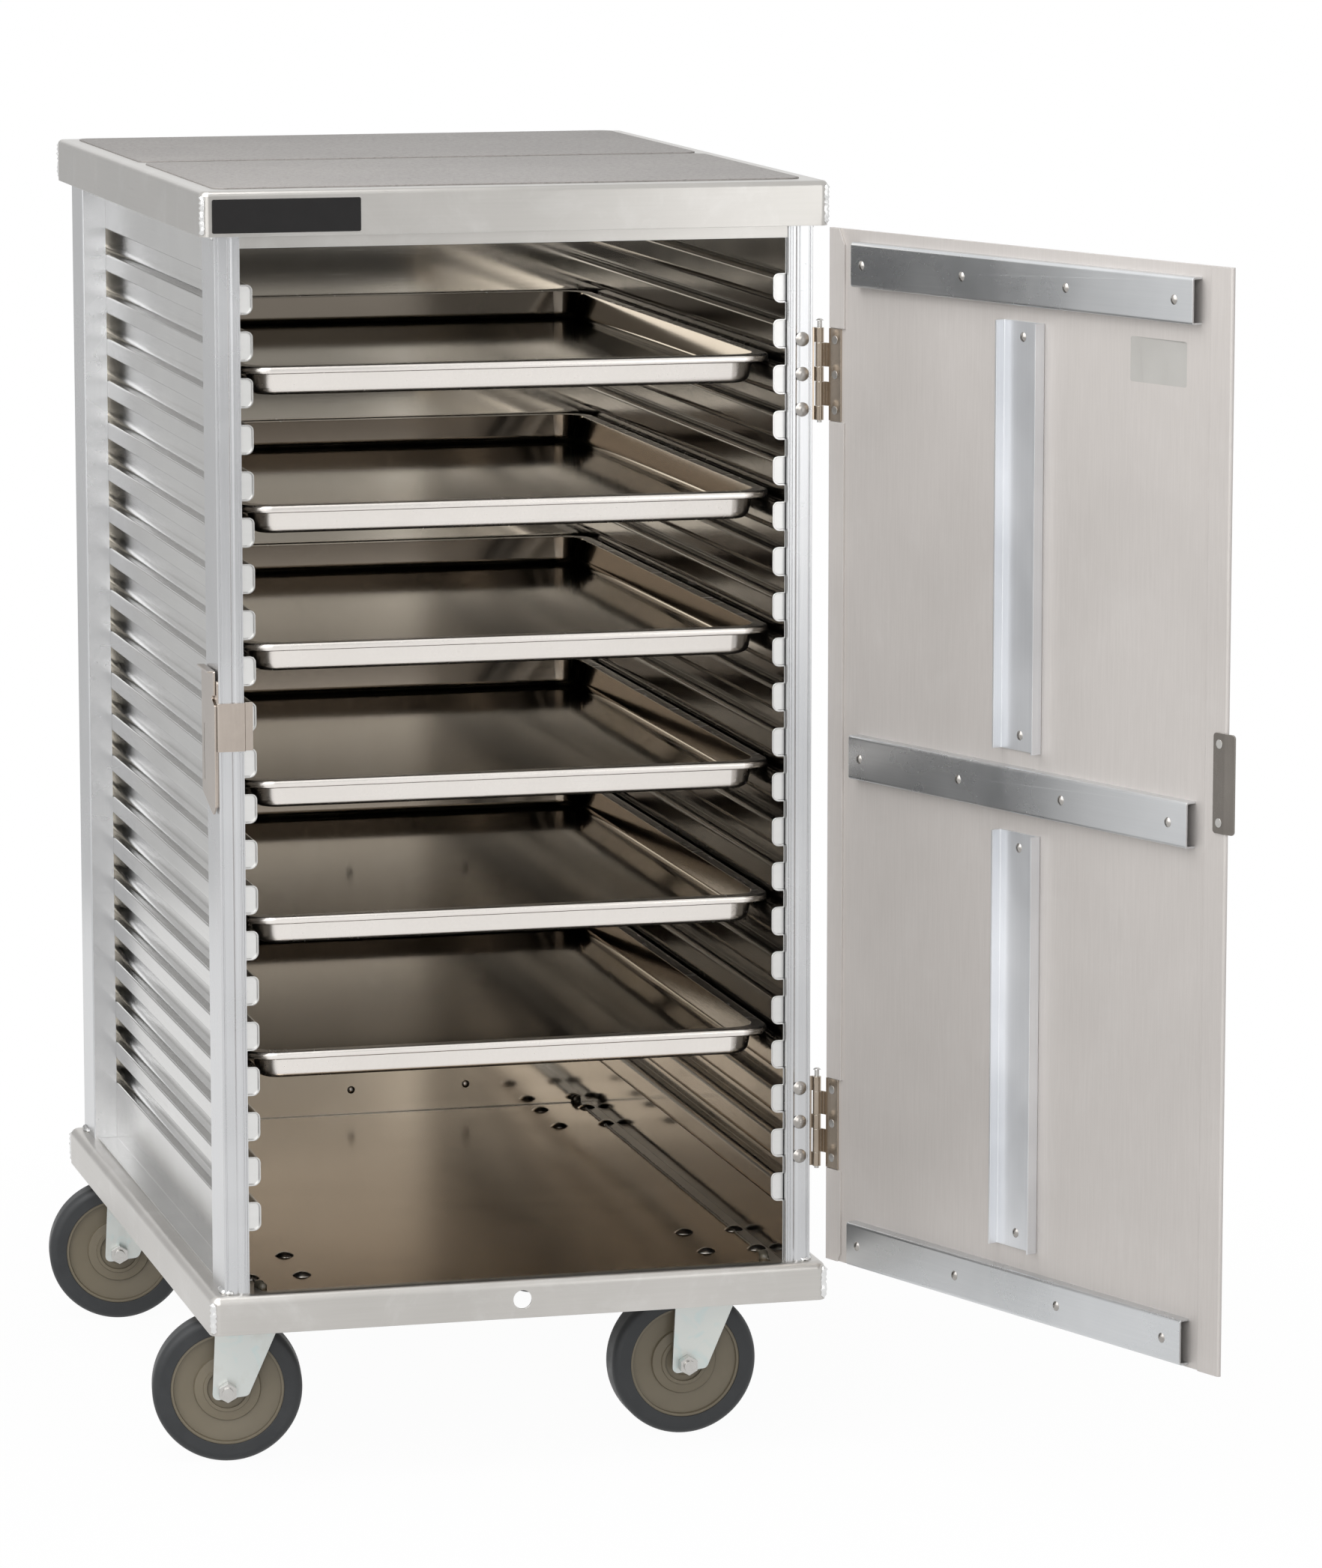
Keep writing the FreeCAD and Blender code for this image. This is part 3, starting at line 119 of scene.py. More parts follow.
# Scuffs: hair scratches in two directions and rubbed, milky patches.
scuff_effect, given = new_effect(
    "scuffs",
    [("Coordinates", "NodeSocketVector"), ("Amount", "NodeSocketFloat")],
    [("Scratches", "NodeSocketFloat"), ("Rubbed", "NodeSocketFloat")],
)
hairs = []
for turn, stretch in (((0.5, 0.3, 0.9), (14, 420, 300)), ((-0.7, 0.5, -0.4), (380, 16, 340))):
    laid = {"Vector": given["Coordinates"], "Rotation": turn, "Scale": stretch}
    turned = add_node(scuff_effect, "ShaderNodeMapping", laid).outputs[0]
    hairs.append(ramp(scuff_effect, noise(scuff_effect, turned, 1.0, 1.0), 0.69, 0.76))
both = reckon(scuff_effect, "MAXIMUM", *hairs)
scratches = reckon(scuff_effect, "MULTIPLY", both, given["Amount"])
patchy = noise(scuff_effect, given["Coordinates"], 19.0, 6.0, Roughness=0.66, Distortion=0.7)
rubbed = reckon(scuff_effect, "MULTIPLY", ramp(scuff_effect, patchy, 0.52, 0.74), given["Amount"])
give_out(scuff_effect, Scratches=scratches, Rubbed=rubbed)


def new_finish(name):
    """An empty material with its Principled shader, and Object coordinates."""
    finish = bpy.data.materials.new(name)
    finish.use_nodes = True
    tree = finish.node_tree
    shader = tree.nodes["Principled BSDF"]
    place = add_node(tree, "ShaderNodeTexCoord").outputs["Object"]
    return finish, tree, shader, place


def join_up(tree, shader, colour, gloss, surface):
    """Gives a Principled shader its worked-out colour, gloss and surface."""
    for label, socket in (("Base Color", colour), ("Roughness", gloss), ("Normal", surface)):
        tree.links.new(socket, shader.inputs[label])


def effect_node(tree, effect, **inputs):
    named = {label.replace("_", " "): value for label, value in inputs.items()}
    return add_node(tree, "ShaderNodeGroup", named, node_tree=effect).outputs


def mix_colour(tree, amount, first, second):
    made = add_node(tree, "ShaderNodeMix", data_type="RGBA")
    for key, value in ((0, amount), (6, first), (7, second)):
        if isinstance(value, bpy.types.NodeSocket):
            tree.links.new(value, made.inputs[key])
        else:
            made.inputs[key].default_value = (*value, 1.0) if key else value
    return made.outputs[2]


rib_top, rib_pitch, rib_count = 0.991, 0.0381, 21


def inside_grease_and_shade_mask(tree, place):
    """1 on the faces that look into the cabinet. There the walls are painted dark as painted shade, and the
    floor a brown that is partly grease and partly a painted warm reflection.
    """
    floor_side, floor_end = (0.2205, 0.2185), (0.3415, 0.334)
    pitches_below, shelf_height, lowest_rib = 30, (0.0115, 0.0118), (0.175, 0.18)
    face = add_node(tree, "ShaderNodeTexCoord").outputs["Normal"]
    where = add_node(tree, "ShaderNodeSeparateXYZ", {0: place}).outputs
    way = add_node(tree, "ShaderNodeSeparateXYZ", {0: face}).outputs
    walls = ramp(tree, reckon(tree, "MULTIPLY", where["X"], way["X"]), -0.004, -0.03)
    across = ramp(tree, reckon(tree, "ABSOLUTE", where["X"]), *floor_side)
    along = ramp(tree, reckon(tree, "ABSOLUTE", where["Y"]), *floor_end)
    ground = reckon(tree, "MULTIPLY", across, along)
    ground = reckon(tree, "MULTIPLY", ground, way["Z"], clamp=True)
    found = reckon(tree, "MAXIMUM", ground, walls)
    # The ribs' level faces look up or down, so their height from each rib's middle tells them.
    # Counting from well below the floor keeps every height above nought.
    start = rib_pitch * (pitches_below + 0.5) - rib_top
    rise = reckon(tree, "MODULO", reckon(tree, "ADD", where["Z"], start), rib_pitch)
    off = reckon(tree, "ABSOLUTE", reckon(tree, "SUBTRACT", rise, rib_pitch / 2))
    shelf = ramp(tree, off, *shelf_height)
    level = ramp(tree, reckon(tree, "ABSOLUTE", way["Z"]), 0.3, 0.6)
    above = ramp(tree, where["Z"], *lowest_rib)
    shelf = reckon(tree, "MULTIPLY", reckon(tree, "MULTIPLY", shelf, level), above)
    return reckon(tree, "MAXIMUM", found, shelf)


def bare_metal(name, dark, light, gloss, stretch, depth=2.5e-6, edge=0.0007, scuffed=0.25, cloudy=0.35,
               rim=(0.84, 0.84, 0.83), metal=1.0, inside=None, streaky=0.16):
    """Bare metal: tone and gloss follow its grain, clouds and scuffs, and its edges are rubbed bright. An
    inside colour, where given, is painted shade on the faces inside the cabinet, partly grease on the floor.
    """
    patch_strength, edge_strength, scratch_gloss, inside_gloss = 0.4, 0.6, 0.10, (0.10, 0.19)
    finish, tree, shader, place = new_finish(name)
    grain = effect_node(tree, grain_effect, Coordinates=place, Stretch=stretch, Depth=depth, Edge=edge)
    scuffs = effect_node(tree, scuff_effect, Coordinates=place, Amount=scuffed)
    tone = ramp(tree, grain["Clouds"], 0.0, 1.0, 0.5 - cloudy / 2, 0.5 + cloudy / 2)
    lined = reckon(tree, "MULTIPLY_ADD", grain["Streaks"], streaky, tone)
    lined = reckon(tree, "SUBTRACT", lined, streaky / 2, clamp=True)
    colour = mix_colour(tree, lined, dark, light)
    colour = mix_colour(tree, reckon(tree, "MULTIPLY", scuffs["Rubbed"], patch_strength), colour, rim)
    roughness = ramp(tree, tone, 0.0, 1.0, *gloss)
    roughness = reckon(tree, "MULTIPLY_ADD", scuffs["Scratches"], scratch_gloss, roughness)
    if inside:
        # Faces inside the cabinet take the inside colour: painted shade on the walls, and on the floor partly
        # grease, partly painted warm reflection.
        mask = inside_grease_and_shade_mask(tree, place)
        colour = mix_colour(tree, mask, colour, inside)
        greasy = ramp(tree, grain["Clouds"], 0.0, 1.0, *inside_gloss)
        shiny = add_node(tree, "ShaderNodeMix", {0: mask, 2: roughness, 3: greasy}, data_type="FLOAT")
        roughness = shiny.outputs[0]
    colour = mix_colour(tree, reckon(tree, "MULTIPLY", grain["Worn Edge"], edge_strength), colour, rim)
    join_up(tree, shader, colour, roughness, grain["Normal"])
    shader.inputs["Metallic"].default_value = metal
    return finish


def dress(finish, *names):
    """Gives CAD nodes their finish."""
    for name in names:
        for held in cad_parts[name].material_slots:
            held.material = finish


# The cabinet's floor takes a brown inside colour, partly grease and partly a painted warm reflection.
skirt_sheet = bare_metal("skirt_sheet", (0.46, 0.445, 0.42), (0.61, 0.59, 0.565), (0.28, 0.42),
                         stretch=(16, 16, 620), scuffed=0.45, inside=(0.50, 0.40, 0.295))
dress(skirt_sheet, "base_pan")


def new_piece(name, mesh, finish, body, smooth=True):
    """Makes an object of a finished bmesh, and hangs it on its body."""
    data = bpy.data.meshes.new(name)
    mesh.to_mesh(data)
    mesh.free()
    data.materials.append(finish)
    for face in data.polygons:
        face.use_smooth = smooth
    piece = bpy.data.objects.new(name, data)
    bpy.context.scene.collection.objects.link(piece)
    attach(piece, body)
    return piece


def lay_bead(mesh, start, end, radius, pitch, seed, waver=0.16, sides=10):
    """One weld or sealant bead: a ring carried along, swelling and straying at each ripple."""
    chance = random.Random(seed)
    start, end = Vector(start), Vector(end)
    along = (end - start).normalized()
    steps = max(4, round((end - start).length / pitch))
    taper = 0.35
    turn = along.to_track_quat("Z", "Y").to_matrix().to_4x4()
    ring = bmesh.ops.create_circle(mesh, segments=sides, radius=radius * taper,
                                   matrix=Matrix.Translation(start) @ turn)["verts"]
    first = list({e for v in ring for e in v.link_edges})
    loop = first
    for step in range(1, steps + 1):
        grown = bmesh.ops.extrude_edge_only(mesh, edges=loop)["geom"]
        ring = [g for g in grown if isinstance(g, bmesh.types.BMVert)]
        loop = [g for g in grown if isinstance(g, bmesh.types.BMEdge) and all(v in ring for v in g.verts)]
        centre = sum((v.co for v in ring), Vector()) / len(ring)
        here = start.lerp(end, step / steps)
        stray = Vector([chance.uniform(-1, 1) for _ in range(3)]) * radius * waver
        bmesh.ops.translate(mesh, vec=here + stray - centre, verts=ring)
        wide = (ring[0].co - here - stray).length
        if step == steps:
            swell = taper
        else:
            ripple = waver if step % 2 else -waver
            swell = 1 + ripple + chance.uniform(-waver, waver) / 2
        bmesh.ops.scale(mesh, vec=Vector((1, 1, 1)) * radius * swell / wide,
                        space=Matrix.Translation(-(here + stray)), verts=ring)
    bmesh.ops.contextual_create(mesh, geom=first)
    bmesh.ops.contextual_create(mesh, geom=loop)


weld_metal = bare_metal("weld_metal", (0.60, 0.60, 0.60), (0.86, 0.86, 0.85), (0.16, 0.34),
                        stretch=(260, 260, 260), depth=1.5e-5, edge=0.0003, scuffed=0.1)
four_ways = ((-1, -1), (1, -1), (-1, 1), (1, 1))
base_x, base_y = 0.2626, 0.3496
skirt_foot, skirt_head = 0.1335, 0.1605
bead_radius, bead_ripple = 0.0029, 0.0022
beads = bmesh.new()
for number, (x, y) in enumerate(four_ways):
    foot_end = (x * base_x, y * base_y, skirt_foot)
    head_end = (x * base_x, y * base_y, skirt_head)
    lay_bead(beads, foot_end, head_end, bead_radius, bead_ripple, number)
bmesh.ops.recalc_face_normals(beads, faces=beads.faces)
new_piece("base_corner_welds", beads, weld_metal, "cabinet")

# ---------------------------------------------------------------- caster plates and fastenings
# Pressed plates under the floor, each held by four dome-headed bolts with nuts below.
# The plates, forks and nuts are zinc plated, which leaves a bluish, slightly
# clouded and oil-tinted surface.

zinc, tree, shader, place = new_finish("zinc_plate")
grain = effect_node(tree, grain_effect, Coordinates=place, Stretch=(260, 260, 260), Depth=1.5e-5, Edge=0.0006)
scuffs = effect_node(tree, scuff_effect, Coordinates=place, Amount=0.5)
colour = mix_colour(tree, grain["Clouds"], (0.50, 0.535, 0.54), (0.64, 0.655, 0.62))
tint = ramp(tree, noise(tree, place, 46.0, 3.0, Distortion=1.2), 0.52, 0.72, 0.0, 0.55)
colour = mix_colour(tree, tint, colour, (0.47, 0.60, 0.60))
colour = mix_colour(tree, scuffs["Rubbed"], colour, (0.44, 0.42, 0.37))
colour = mix_colour(tree, grain["Worn Edge"], colour, (0.78, 0.80, 0.80))
join_up(tree, shader, colour, ramp(tree, grain["Clouds"], 0.0, 1.0, 0.26, 0.42), grain["Normal"])
shader.inputs["Metallic"].default_value = 0.92
dress(zinc, "caster_plates", "caster_kingpins", "caster_nuts")

screw_steel = bare_metal("screw_steel", (0.40, 0.39, 0.37), (0.60, 0.59, 0.57), (0.14, 0.28),
                         stretch=(300, 300, 300), depth=3e-6, edge=0.0003, scuffed=0.3)
dress(screw_steel, "caster_bolts")

# ---------------------------------------------------------------- casters
# Four swivel casters: pressed zinc-plated forks, a steel bolt and hex nut for an axle,
# a taupe moulded hub and a dark grey rubber tyre bonded round it.

corners = ("front_left", "front_right", "rear_left", "rear_right")

rubber, tree, shader, place = new_finish("tyre_rubber")
speckle = noise(tree, place, 900.0, 3.0)
dust = ramp(tree, noise(tree, place, 38.0, 6.0, Roughness=0.7), 0.42, 0.75)
colour = mix_colour(tree, dust, (0.016, 0.018, 0.020), (0.030, 0.032, 0.034))
surface = relief(tree, speckle, 3e-5, 0.8, Normal=round_edges(tree, 0.0012))
join_up(tree, shader, colour, ramp(tree, dust, 0.0, 1.0, 0.44, 0.66), surface)
dress(rubber, *["wheel_tyre_" + corner for corner in corners])

hub_plastic, tree, shader, place = new_finish("hub_plastic")
grit = noise(tree, place, 1100.0, 2.0)
shade = noise(tree, place, 22.0, 4.0)
colour = mix_colour(tree, shade, (0.135, 0.113, 0.075), (0.195, 0.166, 0.116))
surface = relief(tree, grit, 2e-5, 0.6, Normal=round_edges(tree, 0.0008))
join_up(tree, shader, colour, ramp(tree, grit, 0.0, 1.0, 0.34, 0.52), surface)
dress(hub_plastic, *["wheel_hub_" + corner for corner in corners])

dress(zinc, *["caster_fork_" + corner for corner in corners])
dress(screw_steel, *["axle_bolt_" + corner for corner in corners])

# ---------------------------------------------------------------- corner posts
# Four aluminium extrusions with fine lengthwise flutes, stood on the pan and welded
# at foot and head.  Bright from the die, with streaks running up them.

post_metal = bare_metal("post_extrusion", (0.48, 0.485, 0.495), (0.66, 0.665, 0.675), (0.20, 0.32),
                        stretch=(520, 520, 7), depth=2e-6, edge=0.0003, scuffed=0.12, cloudy=0.5)
dress(post_metal, *["post_" + corner for corner in corners])

post_side, post_face = 0.2522, 0.3442
foot, head = 0.1662, 1.0424
foot_waver, head_waver = 0.22, 0.25
welds = bmesh.new()
for number, (x, y) in enumerate(four_ways):
    side, face = x * post_side, y * post_face
    lay_bead(welds, (side, face - y * 0.003, foot), (side, face - y * 0.022, foot),
             0.0024, 0.0021, 10 + number, foot_waver)
    lay_bead(welds, (side - x * 0.001, face, foot), (side - x * 0.008, face, foot),
             0.0016, 0.0018, 20 + number, foot_waver)
    lay_bead(welds, (side, face - y * 0.004, head), (side, face - y * 0.019, head),
             0.0019, 0.0019, 30 + number, head_waver)
bmesh.ops.recalc_face_normals(welds, faces=welds.faces)
new_piece("post_welds", welds, weld_metal, "cabinet")

# ---------------------------------------------------------------- ribbed side walls
# Each wall is a sheet pressed into twenty-one long ribs, which are the slides for
# the pans.  Its grain runs along the ribs.  A dark bead of sealant closes the joint
# along the foot of each wall, with a daub where it starts and ends.

# The near-black inside colour is painted shade: the walls' faces and rib shelves inside the cabinet take it.
wall_metal = bare_metal("wall_sheet", (0.47, 0.465, 0.455), (0.66, 0.655, 0.64), (0.15, 0.27),
                        stretch=(420, 9, 420), depth=2e-6, edge=0.0006, cloudy=0.4,
                        inside=(0.120, 0.110, 0.096))
dress(wall_metal, "wall_left", "wall_right")

sealant, tree, shader, place = new_finish("sealant")
lumps = noise(tree, place, 240.0, 4.0)
colour = mix_colour(tree, lumps, (0.035, 0.030, 0.022), (0.12, 0.108, 0.082))
join_up(tree, shader, colour, ramp(tree, lumps, 0.0, 1.0, 0.22, 0.5), relief(tree, lumps, 2e-4))

wall_x, floor_z = 0.2186, 0.1656
wall_front, wall_back = -0.334, 0.338
daub_x, daub_waver = 0.2165, 0.35
seal = bmesh.new()
for side in (-1, 1):
    joint_x = side * wall_x
    lay_bead(seal, (joint_x, wall_front, floor_z), (joint_x, wall_back, floor_z),
             0.0010, 0.006, 40 + side, 0.20, 8)
    lay_bead(seal, (side * daub_x, 0.332, 0.1665), (side * 0.2180, 0.340, 0.170),
             0.0026, 0.0022, 44 + side, daub_waver)
    lay_bead(seal, (side * daub_x, -0.332, 0.166), (side * 0.2185, -0.320, 0.168),
             0.0032, 0.003, 48 + side, daub_waver)
bmesh.ops.recalc_face_normals(seal, faces=seal.faces)
new_piece("floor_sealant", seal, sealant, "cabinet")

# A pale plate just inside each rib's rim, where the rib is open, is painted light: it stands in for the light
# that shows through the rib's open end.
painted_light_rib_end_metal = bare_metal("painted_light_rib_end_metal", (0.60, 0.60, 0.59), (0.78, 0.775, 0.76), (0.26, 0.38),
                           stretch=(60, 60, 300), depth=2e-6, edge=0.0004, scuffed=0.2, cloudy=0.4)
end_x, end_y, end_wide, end_tall, end_thick = 0.22585, -0.3362, 0.0100, 0.0218, 0.0004
end_corner = 0.0034
upright = Matrix.Rotation(math.radians(90), 4, "X")
ends = bmesh.new()
for rib in range(rib_count):
    for side in (-1, 1):
        made = bmesh.ops.create_grid(ends, x_segments=1, y_segments=1, size=0.5)["verts"]
        bmesh.ops.scale(ends, vec=(end_wide, end_tall, 1), verts=made)
        middle = (side * end_x, end_y, rib_top - rib * rib_pitch)
        bmesh.ops.transform(ends, matrix=Matrix.Translation(middle) @ upright, verts=made)
inner_corners = [v for v in ends.verts if abs(v.co.x) < end_x]
bmesh.ops.bevel(ends, geom=inner_corners, offset=end_corner, segments=3, profile=0.5, material=-1,
                affect="VERTICES")
bmesh.ops.solidify(ends, geom=list(ends.faces), thickness=end_thick)
bmesh.ops.recalc_face_normals(ends, faces=ends.faces)
new_piece("painted_light_rib_ends", ends, painted_light_rib_end_metal, "cabinet", smooth=False)

# ---------------------------------------------------------------- back panel and its bars
# A plain sheet riveted to three folded bars behind it.  Seen through the door it is
# smooth, a little brown, and mirrors the inside of the cabinet.

back_metal = bare_metal("back_sheet", (0.48, 0.445, 0.385), (0.60, 0.56, 0.49), (0.075, 0.110),
                        stretch=(12, 12, 420), scuffed=0.2)
dress(back_metal, "back_panel", "back_stiffeners")

rivet_metal = bare_metal("rivet_metal", (0.27, 0.255, 0.24), (0.44, 0.42, 0.395), (0.20, 0.34),
                         stretch=(300, 300, 300), depth=3e-6, edge=0.0004, scuffed=0.35)
dress(rivet_metal, "cabinet_rivets")

# ---------------------------------------------------------------- header and top cap
# A folded sheet cap, welded at its corners, drops over the post heads.  A narrow
# header strip crosses the door opening below it.

cap_metal = bare_metal("cap_sheet", (0.42, 0.41, 0.387), (0.55, 0.53, 0.507), (0.24, 0.34),
                       stretch=(11, 11, 520), scuffed=0.3)
dress(cap_metal, "top_cap", "front_header")

cap_x, cap_y = 0.2619, 0.3479
cap_foot, cap_head = 1.0445, 1.0768
beads = bmesh.new()
for number, (x, y) in enumerate(four_ways):
    foot_end = (x * cap_x, y * cap_y, cap_foot)
    head_end = (x * cap_x, y * cap_y, cap_head)
    lay_bead(beads, foot_end, head_end, 0.0023, 0.0020, 60 + number, 0.2)
bmesh.ops.recalc_face_normals(beads, faces=beads.faces)
new_piece("cap_corner_welds", beads, weld_metal, "cabinet")

# ---------------------------------------------------------------- top mats and plate
# Two non-slip mats of grey moulded plastic lie on the cap, their faces covered with
# a fine pebbled grain.  A bare, glossy black plate is stuck on the cap's front.

mat_plastic, tree, shader, place = new_finish("mat_plastic")
cells = add_node(tree, "ShaderNodeTexVoronoi", {"Vector": place, "Scale": 620.0}, feature="SMOOTH_F1")
pebbles = cells.outputs["Distance"]
creases = noise(tree, place, 260.0, 5.0, Roughness=0.7, Distortion=0.6)
worn = noise(tree, place, 9.0, 5.0, Roughness=0.65)
colour = mix_colour(tree, worn, (0.225, 0.2125, 0.204), (0.31, 0.293, 0.28))
# The low creases of the grain are painted darker: painted shade.
colour = mix_colour(tree, ramp(tree, creases, 0.5, 0.7, 0.0, 0.75), colour, (0.15, 0.14, 0.135))
height = reckon(tree, "SUBTRACT", pebbles, creases)
surface = relief(tree, height, 2.5e-4, Normal=round_edges(tree, 0.0008))
join_up(tree, shader, colour, ramp(tree, creases, 0.0, 1.0, 0.42, 0.70), surface)
dress(mat_plastic, "top_mat_front", "top_mat_rear")

plate_black, tree, shader, place = new_finish("plate_black")
film = noise(tree, place, 60.0, 5.0)
colour = mix_colour(tree, film, (0.004, 0.0035, 0.0035), (0.009, 0.008, 0.008))
surface = relief(tree, film, 2e-5, 0.3, Normal=round_edges(tree, 0.0005))
join_up(tree, shader, colour, ramp(tree, film, 0.0, 1.0, 0.05, 0.12), surface)
dress(plate_black, "name_plate")

# ---------------------------------------------------------------- hinges
# Two polished butt hinges, their knuckles on a loose headed pin, riveted to the
# front right post and to the door's edge.

hinge_steel = bare_metal("hinge_steel", (0.20, 0.165, 0.125), (0.44, 0.37, 0.30), (0.08, 0.18),
                         stretch=(300, 300, 40), depth=2e-6, edge=0.0005, cloudy=0.6, rim=(0.80, 0.74, 0.66))
for leaf in ("frame_leaf", "door_leaf"):
    dress(hinge_steel, "hinge_%s_upper" % leaf, "hinge_%s_lower" % leaf)
dress(screw_steel, "hinge_pins")

# ---------------------------------------------------------------- door
# A flat skin with folded hems, stiffened inside by three crossbars and two upright
# channels, all riveted.  The skin's grain is fine and upright, the bars are drawn
# sections with lengthwise lines and cooler, brighter faces.

door_metal = bare_metal("door_skin", (0.49, 0.462, 0.44), (0.60, 0.568, 0.545), (0.50, 0.60),
                        stretch=(700, 700, 26), depth=2e-6, edge=0.0005, scuffed=0.12, cloudy=0.3,
                        metal=0.5, streaky=0.42)
dress(door_metal, "door_skin")

bar_metal = bare_metal("door_bars", (0.50, 0.515, 0.53), (0.72, 0.73, 0.74), (0.22, 0.34),
                       stretch=(9, 9, 560), edge=0.0006, scuffed=0.15, cloudy=0.6, metal=0.88)
dress(bar_metal, "door_bar_top", "door_bar_middle", "door_bar_bottom")

channel_metal = bare_metal("door_channels", (0.66, 0.675, 0.70), (0.86, 0.87, 0.89), (0.34, 0.46),
                           stretch=(620, 620, 5), edge=0.0005, cloudy=0.7, metal=0.85)
dress(channel_metal, "door_channel_upper", "door_channel_lower")

dress(screw_steel, "door_screws")
dress(rivet_metal, "door_rivets")

# ---------------------------------------------------------------- blank sticker
# A pale vinyl sticker, left blank, on the inside of the door near its free edge.

hinge_line, door_angle = Vector((0.258, -0.3436, 0.0)), math.radians(291.4)
door_turn = Matrix.Translation(hinge_line) @ Matrix.Rotation(door_angle, 4, "Z")
sticker_wide, sticker_tall, sticker_thick, sticker_corner = 0.068, 0.0355, 0.00016, 0.002
sticker_place = (0.429, 0.00500, 0.9625)

vinyl, tree, shader, place = new_finish("sticker_vinyl")
yellowing = noise(tree, place, 34.0, 4.0)
colour = mix_colour(tree, yellowing, (0.36, 0.35, 0.33), (0.43, 0.42, 0.40))
join_up(tree, shader, colour, ramp(tree, yellowing, 0.0, 1.0, 0.28, 0.42), relief(tree, yellowing, 3e-5, 0.4))

sticker = bmesh.new()
bmesh.ops.create_grid(sticker, x_segments=1, y_segments=1, size=0.5)
bmesh.ops.scale(sticker, vec=(sticker_wide, sticker_tall, 1), verts=sticker.verts)
bmesh.ops.bevel(sticker, geom=list(sticker.verts), offset=sticker_corner, segments=4, profile=0.5,
                material=-1, affect="VERTICES")
bmesh.ops.solidify(sticker, geom=list(sticker.faces), thickness=sticker_thick)
bmesh.ops.recalc_face_normals(sticker, faces=sticker.faces)
sticker_stand = Matrix.Translation(sticker_place) @ upright
bmesh.ops.transform(sticker, matrix=door_turn @ sticker_stand, verts=sticker.verts)
new_piece("door_sticker", sticker, vinyl, "door", smooth=False)

# ---------------------------------------------------------------- latch
# A bent steel bracket riveted round the front left post carries a lever, which drops
# over the darker strike plate on the door's free edge.

latch_steel = bare_metal("latch_steel", (0.34, 0.295, 0.255), (0.55, 0.485, 0.43), (0.14, 0.24),
                         stretch=(420, 420, 30), depth=2e-6, edge=0.0005, scuffed=0.3, cloudy=0.6,
                         rim=(0.82, 0.77, 0.71))
dress(latch_steel, "latch_bracket", "latch_lever")
strike_steel = bare_metal("strike_steel", (0.13, 0.118, 0.105), (0.24, 0.22, 0.20), (0.18, 0.30),
                          stretch=(420, 420, 30), depth=2e-6, edge=0.0005, scuffed=0.3, cloudy=0.6,
                          rim=(0.50, 0.47, 0.43))
dress(strike_steel, "strike_plate")

# ---------------------------------------------------------------- sheet pans
# Six pressed aluminium pans with rolled rims, slick with use inside. Their floors and inner walls are a
# darker brown, partly wear of use and partly painted shade, while the rim and the outside stay bright.

pan_metal = bare_metal("pan_sheet", (0.74, 0.70, 0.66), (0.87, 0.83, 0.79), (0.20, 0.32),
                       stretch=(420, 7, 300), depth=2e-6, edge=0.0008, cloudy=0.4, rim=(0.90, 0.88, 0.85))
pan_pitch, lowest_pan, pan_middle = 0.1143, 0.33715, (0.0, 0.0105, 0.0)
used_and_shaded_colour, used_gloss = (0.38, 0.34, 0.29), 0.33
tree = pan_metal.node_tree
shader = tree.nodes["Principled BSDF"]
bright = shader.inputs["Base Color"].links[0].from_socket
gloss = shader.inputs["Roughness"].links[0].from_socket
spot = add_node(tree, "ShaderNodeTexCoord").outputs
height = add_node(tree, "ShaderNodeSeparateXYZ", {0: spot["Object"]}).outputs["Z"]
height = reckon(tree, "MODULO", reckon(tree, "SUBTRACT", height, lowest_pan), pan_pitch)
deep = ramp(tree, height, 0.013, 0.003)
upward = add_node(tree, "ShaderNodeSeparateXYZ", {0: spot["Normal"]}).outputs["Z"]
used_and_shaded = reckon(tree, "MULTIPLY", deep, ramp(tree, upward, 0.1, 0.7))
out_from = {0: spot["Object"], 1: pan_middle}
outward = add_node(tree, "ShaderNodeVectorMath", out_from, operation="SUBTRACT").outputs[0]
flattened = {0: outward, 1: (1.0, 1.0, 0.0)}
outward = add_node(tree, "ShaderNodeVectorMath", flattened, operation="MULTIPLY").outputs[0]
inward = add_node(tree, "ShaderNodeVectorMath", {0: outward, 1: spot["Normal"]}, operation="DOT_PRODUCT")
used_and_shaded = reckon(tree, "MAXIMUM", used_and_shaded, ramp(tree, inward.outputs["Value"], -0.04, -0.10))
# Pan floors and inner walls take the darker brown: wear of use together with painted shade.
tree.links.new(mix_colour(tree, used_and_shaded, bright, used_and_shaded_colour), shader.inputs["Base Color"])
slick = ramp(tree, used_and_shaded, 0.0, 1.0, 1.0, used_gloss)
tree.links.new(reckon(tree, "MULTIPLY", gloss, slick), shader.inputs["Roughness"])
dress(pan_metal, *["sheet_pan_%d" % number for number in range(1, 7)])

# ---------------------------------------------------------------- floor, light and camera
# A plain white studio: pale floor, white surround, and four soft lamps, to the left,
# over the door, in front and to the right.  Two grey cloths show only in reflections.

floor_mesh = bmesh.new()
bmesh.ops.create_grid(floor_mesh, x_segments=1, y_segments=1, size=12)
floor_data = bpy.data.meshes.new("studio_floor")
floor_mesh.to_mesh(floor_data)
floor_mesh.free()
floor = bpy.data.objects.new("studio_floor", floor_data)
bpy.context.scene.collection.objects.link(floor)


def seen_white(tree):
    """1 where the camera sees a surface directly, in metal or through glass."""
    path = add_node(tree, "ShaderNodeLightPath").outputs
    seen = reckon(tree, "MAXIMUM", path["Is Camera Ray"], path["Is Glossy Ray"])
    return reckon(tree, "MAXIMUM", seen, path["Is Transmission Ray"])


